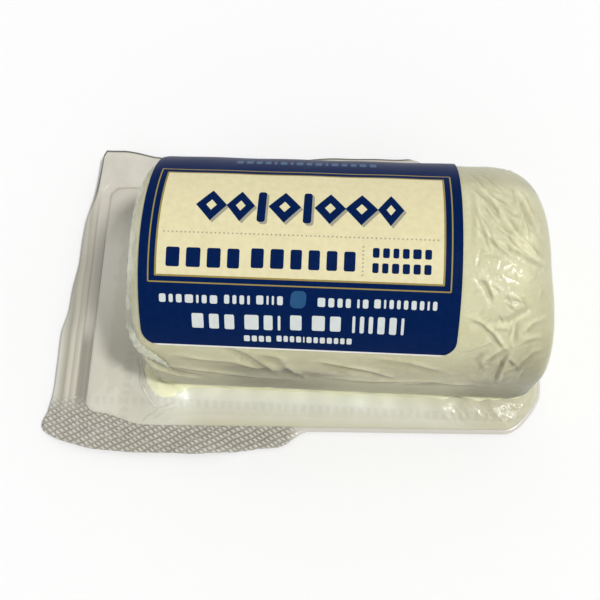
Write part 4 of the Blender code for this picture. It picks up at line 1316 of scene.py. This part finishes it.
def dotted_rule_tree():
    """Geometry nodes that lay flat dots in a straight row over the label and bend the row
    round it."""
    tree = bpy.data.node_groups.new("dotted_rule", "GeometryNodeTree")
    tree.interface.new_socket("Geometry", in_out="OUTPUT", socket_type="NodeSocketGeometry")
    for name, kind in (
        ("Count", "NodeSocketInt"), ("Start", "NodeSocketVector"), ("Step", "NodeSocketVector"),
        ("Dot Radius", "NodeSocketFloat"), ("Dot Thickness", "NodeSocketFloat"),
        ("Wrap Radius", "NodeSocketFloat"), ("Axis", "NodeSocketVector"), ("Ink", "NodeSocketMaterial"),
    ):
        tree.interface.new_socket(name, in_out="INPUT", socket_type=kind)

    nodes = Nodes(tree)
    given = nodes.add("NodeGroupInput").outputs
    row = nodes.add("GeometryNodeMeshLine", {
        "Count": given["Count"], "Start Location": given["Start"], "Offset": given["Step"],
    }, mode="OFFSET")
    dot = nodes.add("GeometryNodeMeshCylinder", {
        "Vertices": 10, "Radius": given["Dot Radius"], "Depth": given["Dot Thickness"],
    })
    dots = nodes.add("GeometryNodeInstanceOnPoints", {
        "Points": row.outputs["Mesh"], "Instance": dot.outputs["Mesh"],
    })
    real = nodes.add("GeometryNodeRealizeInstances", {"Geometry": dots.outputs["Instances"]})
    at_x, at_y, at_z = nodes.axes(nodes.add("GeometryNodeInputPosition").outputs["Position"])
    turn = nodes.math("DIVIDE", at_y, given["Wrap Radius"])
    radius = nodes.math("ADD", at_z, given["Wrap Radius"])
    back = nodes.math("MULTIPLY", nodes.math("SINE", turn), radius)
    high = nodes.math("MULTIPLY", nodes.math("COSINE", turn), radius)
    bent = nodes.add("ShaderNodeCombineXYZ", {"X": at_x, "Y": nodes.math("MULTIPLY", back, -1.0), "Z": high})
    moved = nodes.add("ShaderNodeVectorMath", {0: bent.outputs["Vector"], 1: given["Axis"]}, operation="ADD")
    placed = nodes.add("GeometryNodeSetPosition", {
        "Geometry": real.outputs["Geometry"], "Position": moved.outputs["Vector"],
    })
    inked = nodes.add("GeometryNodeSetMaterial", {
        "Geometry": placed.outputs["Geometry"], "Material": given["Ink"],
    })
    nodes.add("NodeGroupOutput", {"Geometry": inked.outputs["Geometry"]})
    return tree


def dotted_rule(name, tree, values):
    """One dotted rule, made by the tree and kept as a plain mesh."""
    holder = bpy.data.objects.new(name + "_maker", bpy.data.meshes.new(name + "_maker"))
    bpy.context.scene.collection.objects.link(holder)
    modifier = holder.modifiers.new("rule", "NODES")
    modifier.node_group = tree
    for socket in tree.interface.items_tree:
        if socket.in_out == "INPUT":
            modifier[socket.identifier] = values[socket.name]
    graph = bpy.context.evaluated_depsgraph_get()
    mesh = bpy.data.meshes.new_from_object(holder.evaluated_get(graph))
    mesh.name = name
    made = bpy.data.objects.new(name, mesh)
    bpy.context.scene.collection.objects.link(made)
    bpy.data.objects.remove(holder)
    if not mesh.materials:
        mesh.materials.append(values["Ink"])
    finish_piece(made, "front_label")


rule_tree = dotted_rule_tree()
rule_lift = PRINT_RADIUS + 2.0 * PAPER_SLACK + 3.0 * INK
rule_values = {
    "Dot Radius": 0.00013, "Dot Thickness": 0.00003, "Wrap Radius": rule_lift,
    "Axis": (0.0, AXIS_Y, AXIS_Z), "Ink": shadow_ink,
}
dotted_rule("dotted_rule_across", rule_tree, {
    **rule_values, "Count": 64, "Start": (LABEL_X - 23.6 * MM, 2.6 * MM, 0.0), "Step": (0.75 * MM, 0.0, 0.0),
})
dotted_rule("dotted_rule_down", rule_tree, {
    **rule_values, "Count": 8, "Start": (LABEL_X + 11.0 * MM, 4.2 * MM, 0.0), "Step": (0.0, 0.70 * MM, 0.0),
})


# Studio
# A white floor, one soft light from the upper right and a little in front, and even light
# from all round. The camera looks down on the pack from its front.

FLOOR_HALF, FLOOR_DROP = 2.0, 0.0001
corners = [(x * FLOOR_HALF, y * FLOOR_HALF, -FLOOR_DROP) for x, y in ((-1, -1), (1, -1), (1, 1), (-1, 1))]
floor_mesh = bpy.data.meshes.new("studio_floor")
floor_mesh.from_pydata(corners, [], [(0, 1, 2, 3)])
floor = bpy.data.objects.new("studio_floor", floor_mesh)
bpy.context.scene.collection.objects.link(floor)
new_look("studio_white", floor).surface({"Base Color": (0.90, 0.90, 0.90, 1.0), "Roughness": 0.8})

world = bpy.data.worlds.new("studio_light")
world.use_nodes = True
Nodes(world.node_tree).fill(
    world.node_tree.nodes["Background"], {"Color": (1.0, 1.0, 1.0, 1.0), "Strength": 0.56})
bpy.context.scene.world = world

key = bpy.data.lights.new("key_light", "SUN")
key.energy, key.angle = 1.95, math.radians(6.0)
key_light = bpy.data.objects.new("key_light", key)
key_light.rotation_euler = Vector((0.45, -0.18, 0.88)).to_track_quat("Z", "Y").to_euler()
bpy.context.scene.collection.objects.link(key_light)

lens = bpy.data.cameras.new("camera")
lens.sensor_width, lens.lens, lens.clip_start = 36.0, 47.73, 0.001
camera = bpy.data.objects.new("camera", lens)
camera.matrix_world = Matrix((
    (0.99749948, -0.03888513, 0.05901477, LABEL_X + 0.00853),
    (0.05743721, 0.93258576, -0.35634921, AXIS_Y - 0.06157),
    (-0.04117965, 0.3588478, 0.93248726, AXIS_Z + 0.14506),
    (0.0, 0.0, 0.0, 1.0),
))
bpy.context.scene.collection.objects.link(camera)
bpy.context.scene.camera = camera
bpy.context.scene.view_settings.view_transform = "Standard"
